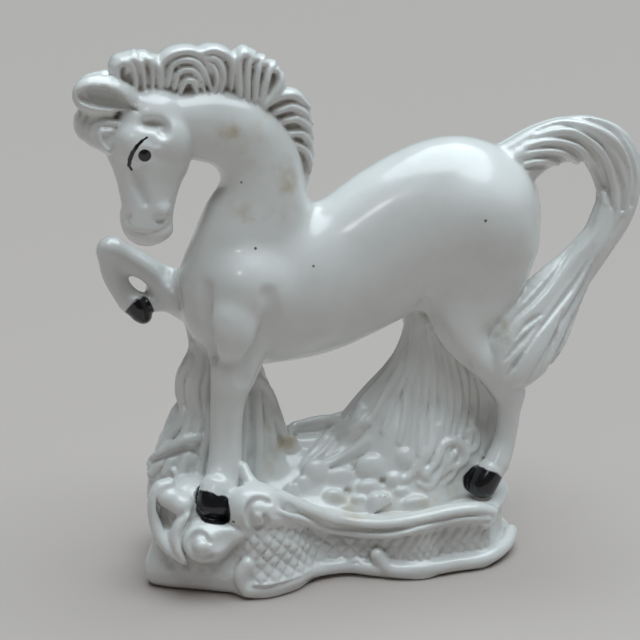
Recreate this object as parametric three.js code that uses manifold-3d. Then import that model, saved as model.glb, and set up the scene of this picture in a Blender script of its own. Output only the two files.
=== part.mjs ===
// A glazed porcelain horse on a scrolled plinth, cast in one piece: millimetres, +Z up.
// The horse faces -X, its near side and the plinth's carved front face -Y, and the
// origin is the middle of the plinth's flat underside.
import * as THREE from "three";
import { mergeVertices } from "three/addons/utils/BufferGeometryUtils.js";
import Module from "manifold-3d";

const wasm = await Module();
wasm.setup();

// Driving dimensions
const figureHeight = 220; // from the plinth's top to the top of the mane
const plinthLength = 186;
const plinthDepth = 98;
const plinthHeight = 30;
const footRimHeight = 6.5; // the rounded band that the plinth stands on
const panelInset = 3; // how far the latticed panel lies behind the foot rim
const panelTop = 24; // where the panel ends, above the ground
const topBevel = 3;
const latticePitch = 9; // from one raised square of the lattice to the next
const latticeRelief = 1.2;
const plainPitch = 14; // column spacing on the plain sides and back of the plinth

// The figure is drawn 220 mm tall on a plinth 30 mm high, and follows figureHeight.
const drawnHeight = 220;
const drawnPlinth = 30;
const share = figureHeight / drawnHeight;
const white = new THREE.MeshStandardMaterial({ color: 0xe9ebea, roughness: 0.12, metalness: 0 });
const depthAxis = new THREE.Vector3(0, 1, 0);
const { lerp } = THREE.MathUtils;

// One closed body along a line of stations [x, y, z, half height, half depth], round at both
// ends. With flutes, ridges and grooves run along it like combed hair.
function sweep(stations, options = {}) {
  const { sides = 6, steps = stations.length + 1, capRings = 1, capReach = 1, flutes = 0, fluteDepth = 0 } = options;
  const line = new THREE.CatmullRomCurve3(stations.map((s) => new THREE.Vector3(s[0], s[1], s[2])));
  const radii = new THREE.CatmullRomCurve3(stations.map((s) => new THREE.Vector3(s[3], s[4], 0)));
  const rings = steps + 2 * capRings;
  const geometry = new THREE.SphereGeometry(1, sides, rings);
  const position = geometry.getAttribute("position");
  for (let ring = 0; ring <= rings; ring++) {
    // The ball's top pole becomes the far end of the line.
    const along = THREE.MathUtils.clamp(1 - (ring - capRings) / steps, 0, 1);
    const past = ring < capRings ? capRings - ring : Math.min(rings - capRings - ring, 0);
    const turn = (past / capRings) * (Math.PI / 2);
    const middle = line.getPoint(along);
    const size = radii.getPoint(along);
    const forward = line.getTangent(along);
    const deep = depthAxis.clone().addScaledVector(forward, -depthAxis.dot(forward)).normalize();
    const high = forward.clone().cross(deep);
    middle.addScaledVector(forward, (capReach * Math.sin(turn) * (size.x + size.y)) / 2);
    for (let side = 0; side <= sides; side++) {
      const angle = (side / sides) * Math.PI * 2;
      const swell = Math.cos(turn) * (1 + fluteDepth * Math.cos(angle * flutes));
      const point = middle
        .clone()
        .addScaledVector(high, -Math.cos(angle) * size.x * swell)
        .addScaledVector(deep, Math.sin(angle) * size.y * swell);
      position.setXYZ(ring * (sides + 1) + side, point.x, point.y, point.z);
    }
  }
  return geometry;
}

function ball([x, y, z], [lengthwise, deep, high], tilt = 0, sides = 6) {
  const geometry = new THREE.SphereGeometry(1, sides, Math.ceil(sides / 2) + 1);
  return geometry.scale(lengthwise, deep, high).rotateY(tilt).translate(x, y, z);
}

// Stations on a flat spiral that faces -Y, from its outer end in to its eye.
function spiral([x, y, z], outer, inner, turns, startAngle, thick) {
  const count = Math.ceil(Math.abs(turns) * 6);
  return Array.from({ length: count + 1 }, (_, i) => {
    const angle = startAngle + (i / count) * turns * Math.PI * 2;
    const radius = lerp(outer, inner, i / count);
    const size = lerp(thick, thick * 0.75, i / count);
    return [x + radius * Math.cos(angle), y - i / count, z + radius * Math.sin(angle), size, size];
  });
}

function toSolid(geometry) {
  const shape = geometry.clone();
  shape.deleteAttribute("normal");
  shape.deleteAttribute("uv");
  const merged = mergeVertices(shape, 1e-4);
  return new wasm.Manifold(
    new wasm.Mesh({
      numProp: 3,
      vertProperties: merged.getAttribute("position").array,
      triVerts: new Uint32Array(merged.index.array),
    }),
  );
}

const joined = (geometries) => geometries.map(toSolid).reduce((all, next) => all.add(next));

// The figure's own pieces of form, drawn from the ground up.
function bodyForms() {
  const barrel = [
    [-42, 0, 130, 32, 23], [-12, 0, 135.5, 34.5, 26], [12, 0, 144.5, 34.5, 26], [37, 0, 158.5, 36.5, 27],
    [57, 0, 164, 39.5, 29], [69, 0, 161.5, 39, 28],
  ];
  const neck = [
    [-41, 0, 138, 29.5, 22], [-35, 0, 163, 27, 20], [-31.5, -1, 182, 20.8, 17], [-33.5, -2, 195, 20, 15.5],
    [-41, -3, 206, 19, 14.5], [-53, -4, 212, 18, 13.5], [-64, -5, 215, 15, 13], [-73, -6, 216, 12.5, 12],
  ];
  return [
    sweep(barrel, { sides: 14, steps: 8, capRings: 3 }),
    sweep(neck, { sides: 12, steps: 11 }),
    ball([59, 0, 130], [18, 15, 12]), // fills the space between the thighs
  ];
}

function headForms() {
  const skull = [
    [-79.5, -7, 217, 16, 13.5], [-82, -9, 205, 19.5, 15], [-83.5, -11, 193, 15.5, 12.5], [-84.5, -13, 181, 12.2, 11],
    [-85.5, -14, 172.5, 11.8, 10.5],
  ];
  const ear = [[-87, -9, 225, 6, 6], [-98, -12, 229.5, 9.5, 8], [-106, -13, 229, 8, 6], [-111.5, -13, 228, 5, 4]];
  const farEar = [[-88, 3, 224, 5, 6], [-97, 8, 231, 6, 6], [-105, 11, 232, 4, 4], [-109, 12, 232, 2, 2]];
  const hollow = [[-93, -19, 225, 3, 4], [-101, -21, 229, 5.5, 6], [-108, -20, 230, 3, 4]];
  const forelock = [0, 1, 2].map((row) => [
    [-96 + row, -5 - 3 * row, 223 - 3 * row, 3.5, 5],
    [-107 + row, -6 - 3 * row, 222 - 3 * row, 3.5, 5],
    [-113 + 2.5 * row, -7 - 2.5 * row, 216 - 3 * row, 3, 5],
    [-111 + 3.5 * row, -7 - 2.5 * row, 210 - 2 * row, 2, 3],
  ]);
  const solid = joined([
    sweep(skull, { sides: 12, steps: 8, capRings: 2 }),
    ball([-72, -10, 204], [12, 14, 13], 0, 8), // cheek
    ball([-90, -18, 209], [6, 4, 5], 0.5, 5), // brow
    ball([-78, -22, 179], [4, 3.5, 4]), // near nostril
    ball([-87, -4, 176], [5, 4, 5]), // far nostril
    sweep(ear, { sides: 8 }),
    sweep(farEar, { sides: 5, steps: 3 }),
    ...forelock.map((lock) => sweep(lock, { sides: 4, steps: 4 })),
  ]);
  return solid.subtract(toSolid(sweep(hollow, { sides: 6, steps: 3 })));
}

function maneForms() {
  const ridge = [
    [-94, -6, 234, 7, 6], [-84, -6, 235, 8, 8], [-74, -5, 233, 8, 8], [-62, -4, 235, 8, 8], [-51, -4, 235, 9, 8],
    [-41, -3, 232, 9, 8], [-31, -2, 227, 9, 8], [-23, -1, 220, 8, 7], [-18, 0, 212, 6, 6], [-15, 0, 202, 5, 6],
    [-13, 0, 192, 4, 5], [-11, 0, 186, 2.5, 3],
  ];
  // Each lock rises from the crest, bows and falls to its tip: [root x, z, crown x, z, tip x, z, thickness].
  const locks = [
    [-94, 235, -91, 242, -84, 237, 3], [-90, 243, -82, 243, -81, 228, 3], [-83, 243, -77, 239, -78, 229, 3],
    [-77, 239, -68, 247, -57, 243, 3.6], [-70, 234, -64, 239, -58, 236, 2.8], [-58, 245, -48, 246, -44, 233, 3.6],
    [-46, 244, -41, 242, -42, 230, 3.4], [-40, 243, -34, 240, -37, 227, 3.4], [-34, 241, -28, 236, -31, 224, 3.4],
    [-29, 236, -23, 231, -26, 221, 3.6], [-27, 221, -17, 225, -11, 219, 3.2], [-24, 215, -15, 217, -9, 211, 3.2],
    [-20, 207, -13, 209, -8, 202, 3], [-16, 198, -11, 199, -8, 191, 2.8],
  ];
  const middle = (i) => lerp(-7, 0, i / (locks.length - 1));
  const lay = (towards, thicker) => ([x0, z0, x1, z1, x2, z2, thick], i) => [
    [x0, middle(i) + towards * 5, z0, thick * 0.8 * thicker, 4],
    [x1, middle(i) + towards * 6, z1, thick * thicker, 4],
    [x2, middle(i) + towards * 6, z2, thick * 0.5 * thicker, 2.5],
  ];
  const nearSide = locks.map(lay(-1, 1));
  const farSide = locks.map(lay(1, 1.2)).filter((_, i) => i % 3 === 0);
  return [
    sweep(ridge, { sides: 6, steps: 12 }),
    ...[...nearSide, ...farSide].map((lock) => sweep(lock, { sides: 4, steps: 3 })),
  ];
}

function tailForms() {
  const fall = [
    [82, 0, 182, 16, 13], [92, 0, 190.5, 13, 12], [103, 0, 197, 12, 11], [115, 0, 200, 11.8, 10],
    [127, 0, 199.5, 12, 9.5], [137, 0, 194.5, 12.5, 9], [143.5, 0, 184, 11.6, 8.5], [144.3, 0, 172, 10.2, 8],
    [141.5, 0, 161, 9.4, 8], [134.5, 0, 150, 9.4, 8], [126, 0, 139, 10.4, 8], [116, 0, 128, 12.6, 8.5],
    [106.5, -1, 116, 14.5, 9], [98.5, -2, 103, 15.5, 9], [93, -3, 92, 14, 9], [90, -4, 83, 9, 7],
  ];
  return [sweep(fall, { sides: 16, steps: 17, flutes: 8, fluteDepth: 0.06 })];
}

function legForms() {
  const nearFore = [
    [-44, -11, 128, 18, 12], [-46, -15, 111, 13.5, 10.5], [-50, -18, 95, 9.5, 9], [-52, -18.5, 83, 8, 8],
    [-54, -19, 68, 7.6, 7], [-55, -20, 54, 7.6, 7], [-57, -21, 46, 8, 7.5], [-60, -24, 39, 7, 7],
  ];
  const farFore = [
    [-52, 10, 128, 17, 12], [-67, 14, 131, 12, 10.5], [-76, 16, 135, 9.5, 9], [-88, 18, 145, 7, 8], [-98, 18, 152, 6, 7],
  ];
  const farCannon = [
    [-99, 18, 152, 6.5, 7], [-100, 17, 143, 5.5, 6], [-96, 16, 134, 5.4, 6], [-92, 14, 127, 6.4, 6.5],
    [-85, 13, 124, 6.4, 6.5],
  ];
  const nearHind = [
    [68, -10, 151, 31, 18], [67, -12, 133, 24, 15], [62, -15, 118, 15, 12.5], [66, -17, 105, 9.5, 10],
    [75, -18, 95, 7.8, 8.5], [82, -18, 86, 8, 8], [85, -18, 77, 7, 7], [84.5, -18, 62, 6.2, 6.5], [83, -19, 53, 6.6, 6.5],
    [79, -21, 46, 7.6, 7.5], [74, -23, 39, 7, 7],
  ];
  const farHind = nearHind.map(([x, y, z, high, deep]) => [x - (z < 120 ? 16 : 8), -y, z, high, deep]);
  return [
    sweep(nearFore, { sides: 8, steps: 10, capRings: 2 }),
    sweep(farFore, { sides: 8, steps: 5 }),
    sweep(farCannon, { sides: 6, steps: 6 }),
    sweep(nearHind, { sides: 8, steps: 14, capRings: 2 }),
    sweep(farHind, { sides: 6, steps: 10 }),
  ];
}

// Two masses of hanging strands carry the body, with a bank of leaves between them.
function supportForms() {
  const foreMass = [
    [-50, 4, 122, 19, 8], [-49, 4, 108, 18, 9], [-50, 4, 98, 19, 9.5], [-52, 5, 91, 23, 10], [-48.5, 5, 81, 23, 11],
    [-48, 5, 72, 25, 12], [-49, 5, 63, 30, 14], [-50, 4, 52, 34.5, 17], [-52, 3, 40, 37, 21], [-52, 2, 32, 37, 24],
  ];
  const hindMass = [
    [58, 1, 132, 17, 8], [57, 1, 114, 17.5, 9], [57, 1, 102, 19.5, 10], [56.5, 1, 93, 23, 11], [56, 1, 84, 27.5, 12],
    [53, 1, 75, 31, 13], [50, 1, 66, 35, 15], [46, 0, 55, 40, 18], [42, 0, 42, 44, 24], [42, 0, 32, 44, 28],
  ];
  const bank = [[-30, 8, 42, 13, 11], [-10, 11, 46, 13, 10], [10, 10, 49, 14, 11], [30, 6, 52, 17, 13]];
  return [
    sweep(foreMass, { sides: 16, steps: 9, capReach: 0.3, flutes: 8, fluteDepth: 0.05 }),
    sweep(hindMass, { sides: 20, steps: 9, capReach: 0.3, flutes: 10, fluteDepth: 0.05 }),
    sweep(bank, { sides: 8, steps: 4 }),
  ];
}

// Leaves that lie on the bank between the two supports, blossoms in front of them, and curls.
function groundCarving() {
  const leaves = [
    [[-21, 13, 60, 3.4, 5], [-11, 14, 61, 3.6, 5], [-1, 14, 62, 3.8, 5], [7, 13, 64, 4, 5], [17, 12, 68, 4, 5]],
    [[19, 6, 68, 4, 5], [10, 4, 61, 4.6, 5], [0, 0, 56, 4.6, 5], [-9, -3, 52, 4.4, 5], [-13, -5, 44, 3.5, 5]],
    [[18, 0, 57, 3.8, 5], [9, -3, 52, 4.4, 5], [-2, -7, 49, 4.2, 5], [-10, -9, 45, 3.6, 5], [-12, -11, 38, 3, 4]],
  ];
  const blossoms = [{ at: [1, -13, 41], petal: 5, count: 4 }, { at: [20, -16, 43], petal: 5.6, count: 4 }];
  const petals = blossoms.flatMap(({ at: [x, y, z], petal, count }) =>
    Array.from({ length: count }, (_, i) => {
      const angle = (i / count) * Math.PI * 2 + 0.6;
      const middle = [x + petal * Math.cos(angle), y, z + petal * Math.sin(angle)];
      return ball(middle, [petal, petal * 0.8, petal * 0.75], -angle);
    }),
  );
  const curls = [
    spiral([60, -19, 50], 8, 2.5, 1.2, Math.PI * 0.9, 2.6),
    spiral([50, -24, 39], 5.5, 2, -1, 0.4, 2.4),
  ];
  return [
    ...leaves.map((leaf) => sweep(leaf, { sides: 5, steps: 4 })),
    ...petals,
    ...curls.map((curl) => sweep(curl, { sides: 4, steps: 7 })),
  ];
}

// The rolled rim over the lattice, and the crescent scroll before the raised leg's side.
function scrollForms() {
  const rim = [
    [-48, -36, 43, 3.6, 4], [-40, -37, 46, 3.6, 4], [-31, -37, 43, 3.6, 4], [-20, -36, 37, 3.6, 4], [-8, -35, 30, 3.3, 4],
    [3, -35, 27, 3, 4], [14, -37, 26, 3, 4], [24, -40, 27, 3, 4], [36, -41, 29, 3, 4], [50, -40, 31, 3, 4],
    [64, -38, 30, 3, 4], [72, -37, 26, 2.4, 3],
  ];
  const crescent = [
    [-52, -43, 33, 4, 5], [-52, -46, 26, 4, 5], [-60, -45, 20, 4, 5], [-70, -42, 20, 4, 5], [-80, -37, 23, 4, 5],
    [-87, -30, 33, 4, 5], [-89, -24, 46, 4, 5], [-85, -20, 57, 3.6, 5], [-76, -16, 62, 3, 5],
  ];
  return [
    sweep(rim, { sides: 5, steps: 13 }),
    sweep(spiral([-40, -41, 36], 8, 2.5, 1.2, Math.PI * 0.7, 3.4), { sides: 5, steps: 7 }),
    sweep(crescent, { sides: 6, steps: 11 }),
    sweep(spiral([-66, -38, 28], 7, 2.2, 1, -0.3, 3.4), { sides: 5 }),
    sweep(spiral([-82, -28, 54], 5, 2, -1, 2.4, 2.8), { sides: 5 }),
    ball([-66, -22, 38], [19, 18, 20], 0, 10), // mound under the crescent
    ball([-38, -26, 32], [24, 12, 10], 0, 8), // ground behind the rim
  ];
}

// The plinth's plan, as shares of half its length and half its depth, from the right end
// along the front and back along the plainer rear.
const plan = [
  [0.99, -0.05], [0.95, -0.34], [0.84, -0.66], [0.75, -0.81], [0.65, -0.83], [0.52, -0.84], [0.43, -0.92], [0.35, -0.92],
  [0.18, -0.8], [0, -0.64], [-0.14, -0.7], [-0.25, -0.88], [-0.39, -0.99], [-0.49, -0.98], [-0.58, -0.9], [-0.8, -0.72],
  [-0.92, -0.62], [-1, -0.48], [-0.96, -0.17], [-0.94, 0.1], [-0.9, 0.46], [-0.78, 0.74], [-0.48, 0.88], [-0.15, 0.82],
  [0.15, 0.86], [0.48, 0.92], [0.76, 0.84], [0.93, 0.52],
];
const planLine = new THREE.CatmullRomCurve3(
  plan.map(([x, y]) => new THREE.Vector3((x * plinthLength) / 2, (y * plinthDepth) / 2, 0)), true,
);
const latticeStart = 0.07; // where the latticed panel begins and ends, as shares of the way round
const ridgesEnd = 0.25; // upright ridges from its start to here, squares from here to its end
const latticeEnd = 0.38;

function plinthColumns() {
  const length = planLine.getLength();
  const spread = (from, to, pitch) => {
    const count = Math.max(2, Math.round(((to - from) * length) / pitch));
    return Array.from({ length: count }, (_, i) => lerp(from, to, i / count));
  };
  return [
    ...spread(0, latticeStart, plainPitch),
    ...spread(latticeStart, latticeEnd, latticePitch / 2),
    ...spread(latticeEnd, 1, plainPitch),
  ].reverse();
}

function plinthForms() {
  const columns = plinthColumns();
  const panelFoot = footRimHeight + 1;
  const rows = Math.round((panelTop - panelFoot) / (latticePitch / 2));
  const wall = Array.from({ length: rows + 1 }, (_, row) => [-panelInset, lerp(panelFoot, panelTop, row / rows), row]);
  const profile = [
    [0, 0], [-1, 0], [0, 1.5], [0, footRimHeight - 1.5], ...wall,
    [-1, panelTop + 1.5], [-1, plinthHeight - topBevel], [-1 - topBevel, plinthHeight], [0, plinthHeight],
  ];
  const last = profile.length - 1;
  const geometry = new THREE.LatheGeometry(profile.map(([, z], i) => new THREE.Vector2(i, z)), columns.length);
  const position = geometry.getAttribute("position");
  const relief = (column, row) => {
    const around = columns[column % columns.length];
    if (!row || row === rows || around <= latticeStart || around > latticeEnd) return 0;
    const raised = around < ridgesEnd ? column % 2 : (column + row) % 2;
    return raised ? latticeRelief : 0;
  };
  const isAxis = (j) => j === 0 || j === last;
  for (let i = 0; i <= columns.length; i++) {
    const around = columns[i % columns.length];
    const point = planLine.getPointAt(around);
    const along = planLine.getTangentAt(around);
    for (const [j, [out, z, row]] of profile.entries()) {
      const move = out + relief(i, row);
      const x = isAxis(j) ? 0 : point.x - along.y * move;
      const y = isAxis(j) ? 0 : point.y + along.x * move;
      position.setXYZ(i * profile.length + j, x, y, z);
    }
  }
  // Each cell of the wall folds between its lower corners, so that the lattice stands as low pyramids.
  const index = geometry.getIndex();
  for (let i = 0; i < columns.length; i++) {
    for (let j = 0; j < last; j++) {
      const height = (column, step) => relief(i + column, profile[j + step][2]);
      if (height(1, 0) + height(0, 1) <= height(0, 0) + height(1, 1)) continue;
      const corner = i * profile.length + j;
      const across = corner + profile.length;
      const triangles = [corner, across, across + 1, corner, across + 1, corner + 1];
      triangles.forEach((vertex, k) => index.setX((i * last + j) * 6 + k, vertex));
    }
  }
  return [geometry];
}

const figure = joined([
  ...bodyForms(), ...maneForms(), ...tailForms(), ...legForms(), ...supportForms(), ...groundCarving(), ...scrollForms(),
]).add(headForms());

const plinth = joined(plinthForms());
const placed = figure
  .translate([0, 0, -drawnPlinth])
  .scale([share, share, share])
  .translate([0, 0, plinthHeight]);
const whole = plinth.add(placed);

function toGeometry(solid) {
  const mesh = solid.getMesh();
  return new THREE.BufferGeometry()
    .setAttribute("position", new THREE.BufferAttribute(new Float32Array(mesh.vertProperties), 3))
    .setIndex(new THREE.BufferAttribute(new Uint32Array(mesh.triVerts), 1));
}

const sculpture = new THREE.Mesh(toGeometry(whole), white);
sculpture.name = "horse_on_plinth";
const group = new THREE.Group();
group.add(sculpture);
export default group;
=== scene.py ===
import math

import bpy
import numpy as np
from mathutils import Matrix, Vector


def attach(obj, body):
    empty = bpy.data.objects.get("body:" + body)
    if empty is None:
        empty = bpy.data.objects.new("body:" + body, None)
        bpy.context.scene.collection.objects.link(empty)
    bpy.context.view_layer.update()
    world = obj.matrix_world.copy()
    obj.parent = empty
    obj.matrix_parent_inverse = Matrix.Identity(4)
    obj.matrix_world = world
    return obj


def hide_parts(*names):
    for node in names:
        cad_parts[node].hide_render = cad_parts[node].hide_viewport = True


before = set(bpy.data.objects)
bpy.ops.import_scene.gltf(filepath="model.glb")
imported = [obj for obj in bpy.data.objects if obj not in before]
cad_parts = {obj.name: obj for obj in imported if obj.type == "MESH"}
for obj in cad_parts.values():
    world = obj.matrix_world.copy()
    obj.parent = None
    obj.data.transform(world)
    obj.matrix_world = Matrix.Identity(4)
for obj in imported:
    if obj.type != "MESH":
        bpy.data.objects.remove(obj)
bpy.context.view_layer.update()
perMetre = 1000  # the modelling below is in millimetres

camera = {
    "azimuth": -12,  # degrees, round to the horse's chest side
    "elevation": 17,
    "distance": 700,
    "target": (-4, 0, 118),
    "lens": 83.1,
    "sensor": 36,
    "clip": (0.05, 20),  # metres
}


def placeCamera():
    az, el = math.radians(camera["azimuth"]), math.radians(camera["elevation"])
    back = Vector((math.sin(az) * math.cos(el), -math.cos(az) * math.cos(el), math.sin(el)))
    data = bpy.data.cameras.new("camera")
    data.lens = camera["lens"]
    data.sensor_width = camera["sensor"]
    data.clip_start, data.clip_end = camera["clip"]
    view = bpy.data.objects.new("camera", data)
    view.location = (Vector(camera["target"]) + back * camera["distance"]) / perMetre
    view.rotation_mode = "QUATERNION"
    view.rotation_quaternion = (-back).to_track_quat("-Z", "Y")
    bpy.context.scene.collection.objects.link(view)
    bpy.context.scene.camera = view


placeCamera()
print("camera placed")

# The clay is a grid of distances to the surface, negative inside, that the forms are pressed into.
clay = {
    "low": (-120.0, -56.0, -3.0),
    "high": (160.0, 50.0, 254.0),
    "step": 0.85,
    "quickStep": 1.7,
    "triangles": 194000,
    "far": 25.0,
    "pieceLength": 4.0,  # longest straight piece of a tube
    "layLength": 3.0,  # the same for a tube that follows a surface
    "thinnest": 0.3,  # smallest radius of a tube
    "fluteRest": 0.6,  # where between ridge and groove a fluted tube's own surface lies
    "margin": 4.0,  # how far round each form its distances are worked out
    "smoothing": 1.7,  # blur of the body before details go on it
    "smoothings": 2,
    "projections": 2,  # how often the thinned mesh is pulled back onto the clay
    "longestMove": 0.4,  # of each pull, in steps of the grid
    "slopeReach": 0.6,  # over which the clay's slope is taken, in steps of the grid
    "creviceShadeReach": 2.2,  # radius within which the clay is measured for the painted shade in the crevices
    "joins": {"hair": 1.2, "support": 1.4, "base": 1.4},  # how softly each group meets the horse
}
step = clay["step"]
spare = 1.5 * step  # kept free round each form
tiny = 1e-6
lowCorner = np.array(clay["low"], np.float32)
counts = np.ceil((np.array(clay["high"]) - clay["low"]) / step).astype(int) + 1
axes = [lowCorner[a] + step * np.arange(counts[a], dtype=np.float32) for a in range(3)]


def newClay():
    return np.full(counts, clay["far"], np.float32)


def cut(low, high):
    spans = []
    for a in range(3):
        first = int(np.clip((low[a] - lowCorner[a]) // step, 0, counts[a] - 2))
        last = int(np.clip((high[a] - lowCorner[a]) // step + 2, first + 1, counts[a]))
        spans.append(slice(first, last))
    x = axes[0][spans[0]][:, None, None]
    y = axes[1][spans[1]][None, :, None]
    z = axes[2][spans[2]][None, None, :]
    return tuple(spans), x, y, z


def softMin(a, b, blend):
    lap = np.maximum(blend - np.abs(a - b), 0) / blend
    return np.minimum(a, b) - lap * lap * (blend / 4)


def smoothCurve(points, count):
    # Catmull-Rom through the points, evenly spread between them
    p = np.asarray(points, float)
    ends = np.vstack([2 * p[0] - p[1], p, 2 * p[-1] - p[-2]])
    t = np.linspace(0, len(p) - 1, count)
    i = np.minimum(t.astype(int), len(p) - 2)
    u = (t - i)[:, None]
    a, b, c, d = ends[i], ends[i + 1], ends[i + 2], ends[i + 3]
    return 0.5 * (2 * b + (c - a) * u + (2 * a - 5 * b + 4 * c - d) * u**2 + (3 * b - a - 3 * c + d) * u**3)


def partLengths(points):
    return np.linalg.norm(np.diff(np.asarray(points, float), axis=0), axis=1)


def evenLine(points, count):
    run = np.concatenate([[0], np.cumsum(partLengths(points))])
    marks = np.linspace(0, run[-1], count)
    return np.stack([np.interp(marks, run, values) for values in np.asarray(points, float).T], axis=1)


def alongWay(gaps, way):
    return sum(gap * np.float32(share) for gap, share in zip(gaps, way))


def tubeClay(stations, pad, flutes=0, relief=0.0, twist=0.0, wave=0.0, waves=2, capReach=1.0):
    # stations: x, y, z, half height, half depth
    stations = np.asarray(stations, float)
    pieces = int(partLengths(stations[:, :3]).sum() / clay["pieceLength"])
    line = smoothCurve(stations, max(2 * len(stations), pieces + 2))
    line[:, 3:] = np.maximum(line[:, 3:], clay["thinnest"])
    reach = line[:, 3:5].max(1)[:, None] + pad + relief
    reach = np.maximum(reach, np.maximum(np.roll(reach, 1, 0), np.roll(reach, -1, 0)))
    spans = cut((line[:, :3] - reach).min(0), (line[:, :3] + reach).max(0))[0]
    own = np.full([s.stop - s.start for s in spans], clay["far"], np.float32)
    last = len(line) - 1
    for i in range(last):
        a, b = line[i], line[i + 1]
        room = min(reach[i, 0], reach[i + 1, 0])
        part, x, y, z = cut(np.minimum(a[:3], b[:3]) - room, np.maximum(a[:3], b[:3]) + room)
        long = np.linalg.norm(b[:3] - a[:3]) + tiny
        ahead = (b[:3] - a[:3]) / long
        runsInDepth = abs(ahead[1]) >= 0.95
        side = np.array([1.0, 0.0, 0.0]) if runsInDepth else np.array([0.0, 1.0, 0.0])
        deep = side - ahead * side.dot(ahead)
        deep /= np.linalg.norm(deep)
        high = np.cross(ahead, deep)
        gaps = (x - np.float32(a[0]), y - np.float32(a[1]), z - np.float32(a[2]))
        along, up, out = (alongWay(gaps, way) for way in (ahead, high, deep))
        t = np.clip(along / np.float32(long), 0, 1)
        past = along - t * np.float32(long)
        ru = np.float32(a[3]) + t * np.float32(b[3] - a[3])
        rd = np.float32(a[4]) + t * np.float32(b[4] - a[4])
        ra = (ru + rd) * np.float32(0.5 * (capReach if i in (0, last - 1) else 1.0))
        u, o, p = up / ru, out / rd, past / ra
        k0 = np.sqrt(u * u + o * o + p * p)
        k1 = np.sqrt((u / ru) ** 2 + (o / rd) ** 2 + (p / ra) ** 2) + np.float32(tiny)
        d = k0 * (k0 - 1) / k1
        if flutes:
            s = (i + t) / last
            phase = flutes * np.arctan2(o, u) + twist * s + wave * np.sin(2 * np.pi * waves * s)
            d = d - np.float32(relief) * (np.abs(np.sin(phase / 2)) - np.float32(clay["fluteRest"]))
        local = tuple(slice(q.start - s.start, q.stop - s.start) for q, s in zip(part, spans))
        own[local] = np.minimum(own[local], d)
    return spans, own


def addTube(field, stations, blend=1.0, **shape):
    spans, own = tubeClay(stations, max(blend, clay["margin"]) + spare, **shape)
    field[spans] = softMin(field[spans], own, blend)


def cutTube(field, stations, blend=1.0, **shape):
    spans, own = tubeClay(stations, blend + spare, **shape)
    field[spans] = -softMin(-field[spans], own, blend)


def ballClay(at, radii, pad, turn=0.0):
    # turn is about the Y axis, in degrees
    reach = max(radii) + pad
    spans, x, y, z = cut(np.array(at) - reach, np.array(at) + reach)
    c, s = math.cos(math.radians(turn)), math.sin(math.radians(turn))
    dx, dy, dz = x - at[0], y - at[1], z - at[2]
    u, o, p = (dx * c - dz * s), dy + 0 * dx, (dx * s + dz * c)
    ru, ro, rp = (np.float32(r) for r in radii)
    k0 = np.sqrt((u / ru) ** 2 + (o / ro) ** 2 + (p / rp) ** 2)
    k1 = np.sqrt((u / ru**2) ** 2 + (o / ro**2) ** 2 + (p / rp**2) ** 2) + np.float32(tiny)
    return spans, (k0 * (k0 - 1) / k1).astype(np.float32)


def addBall(field, at, radii, blend=1.0, turn=0.0):
    spans, own = ballClay(at, radii, max(blend, clay["margin"]) + spare, turn)
    field[spans] = softMin(field[spans], own, blend)


def cutBall(field, at, radii, blend=1.0, turn=0.0):
    spans, own = ballClay(at, radii, blend + spare, turn)
    field[spans] = -softMin(-field[spans], own, blend)


def addBalls(field, balls):
    for at, radii, blend, turn in balls:
        addBall(field, at, radii, blend, turn)


def lieOn(field, flat, face=-1):
    # gives each (x, z) the depth of the first surface met from the front (-1) or from behind (+1)
    flat = np.asarray(flat, float)
    depth = np.full(len(flat), np.nan)
    ys = axes[1]
    for n, (x, z) in enumerate(flat[:, :2]):
        i = np.clip((x - lowCorner[0]) / step, 0, counts[0] - 1.01)
        k = np.clip((z - lowCorner[2]) / step, 0, counts[2] - 1.01)
        i0, k0 = int(i), int(k)
        u, v = i - i0, k - k0
        column = (
            field[i0, :, k0] * (1 - u) * (1 - v)
            + field[i0 + 1, :, k0] * u * (1 - v)
            + field[i0, :, k0 + 1] * (1 - u) * v
            + field[i0 + 1, :, k0 + 1] * u * v
        )
        order = column if face < 0 else column[::-1]
        places = ys if face < 0 else ys[::-1]
        hits = np.nonzero(order < 0)[0]
        if len(hits) and hits[0] > 0:
            j = hits[0]
            share = order[j - 1] / (order[j - 1] - order[j])
            depth[n] = places[j - 1] + share * (places[j] - places[j - 1])
    known = ~np.isnan(depth)
    if not known.any():
        return None
    steps = np.arange(len(flat))
    depth = np.interp(steps, steps[known], depth[known])
    soft = np.convolve(np.pad(depth, 1, mode="edge"), [0.25, 0.5, 0.25], mode="valid")
    return np.stack([flat[:, 0], soft, flat[:, 1]], axis=1)


def layTube(field, flat, thick, face=-1, sink=0.35, blend=0.8, carve=False, taper=(0.5, 1.0, 0.4)):
    # a ridge, or a groove if carve is set, that follows the surface
    count = max(5, int(partLengths(flat).sum() / clay["layLength"]) + 2)
    line = lieOn(field, smoothCurve(flat, count), face)
    if line is None:
        return
    share = np.linspace(0, 1, count)
    size = thick * np.interp(share, [0, 0.4, 1], taper)
    line[:, 1] -= face * sink * size
    stations = np.column_stack([line, size, size])
    (cutTube if carve else addTube)(field, stations, blend)


def comb(field, guides, count, thick, **shape):
    # strands spread evenly between guide lines given as (x, z) points
    lines = np.stack([evenLine(smoothCurve(guide, 20), 9) for guide in guides])
    for at in np.arange(count) / (count - 1) * (len(lines) - 1):
        i = min(int(at), len(lines) - 2)
        layTube(field, lines[i] * (1 - (at - i)) + lines[i + 1] * (at - i), thick, **shape)


def layTubes(field, lines, **shape):
    for line, thick in lines:
        layTube(field, line, thick, **shape)


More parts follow.
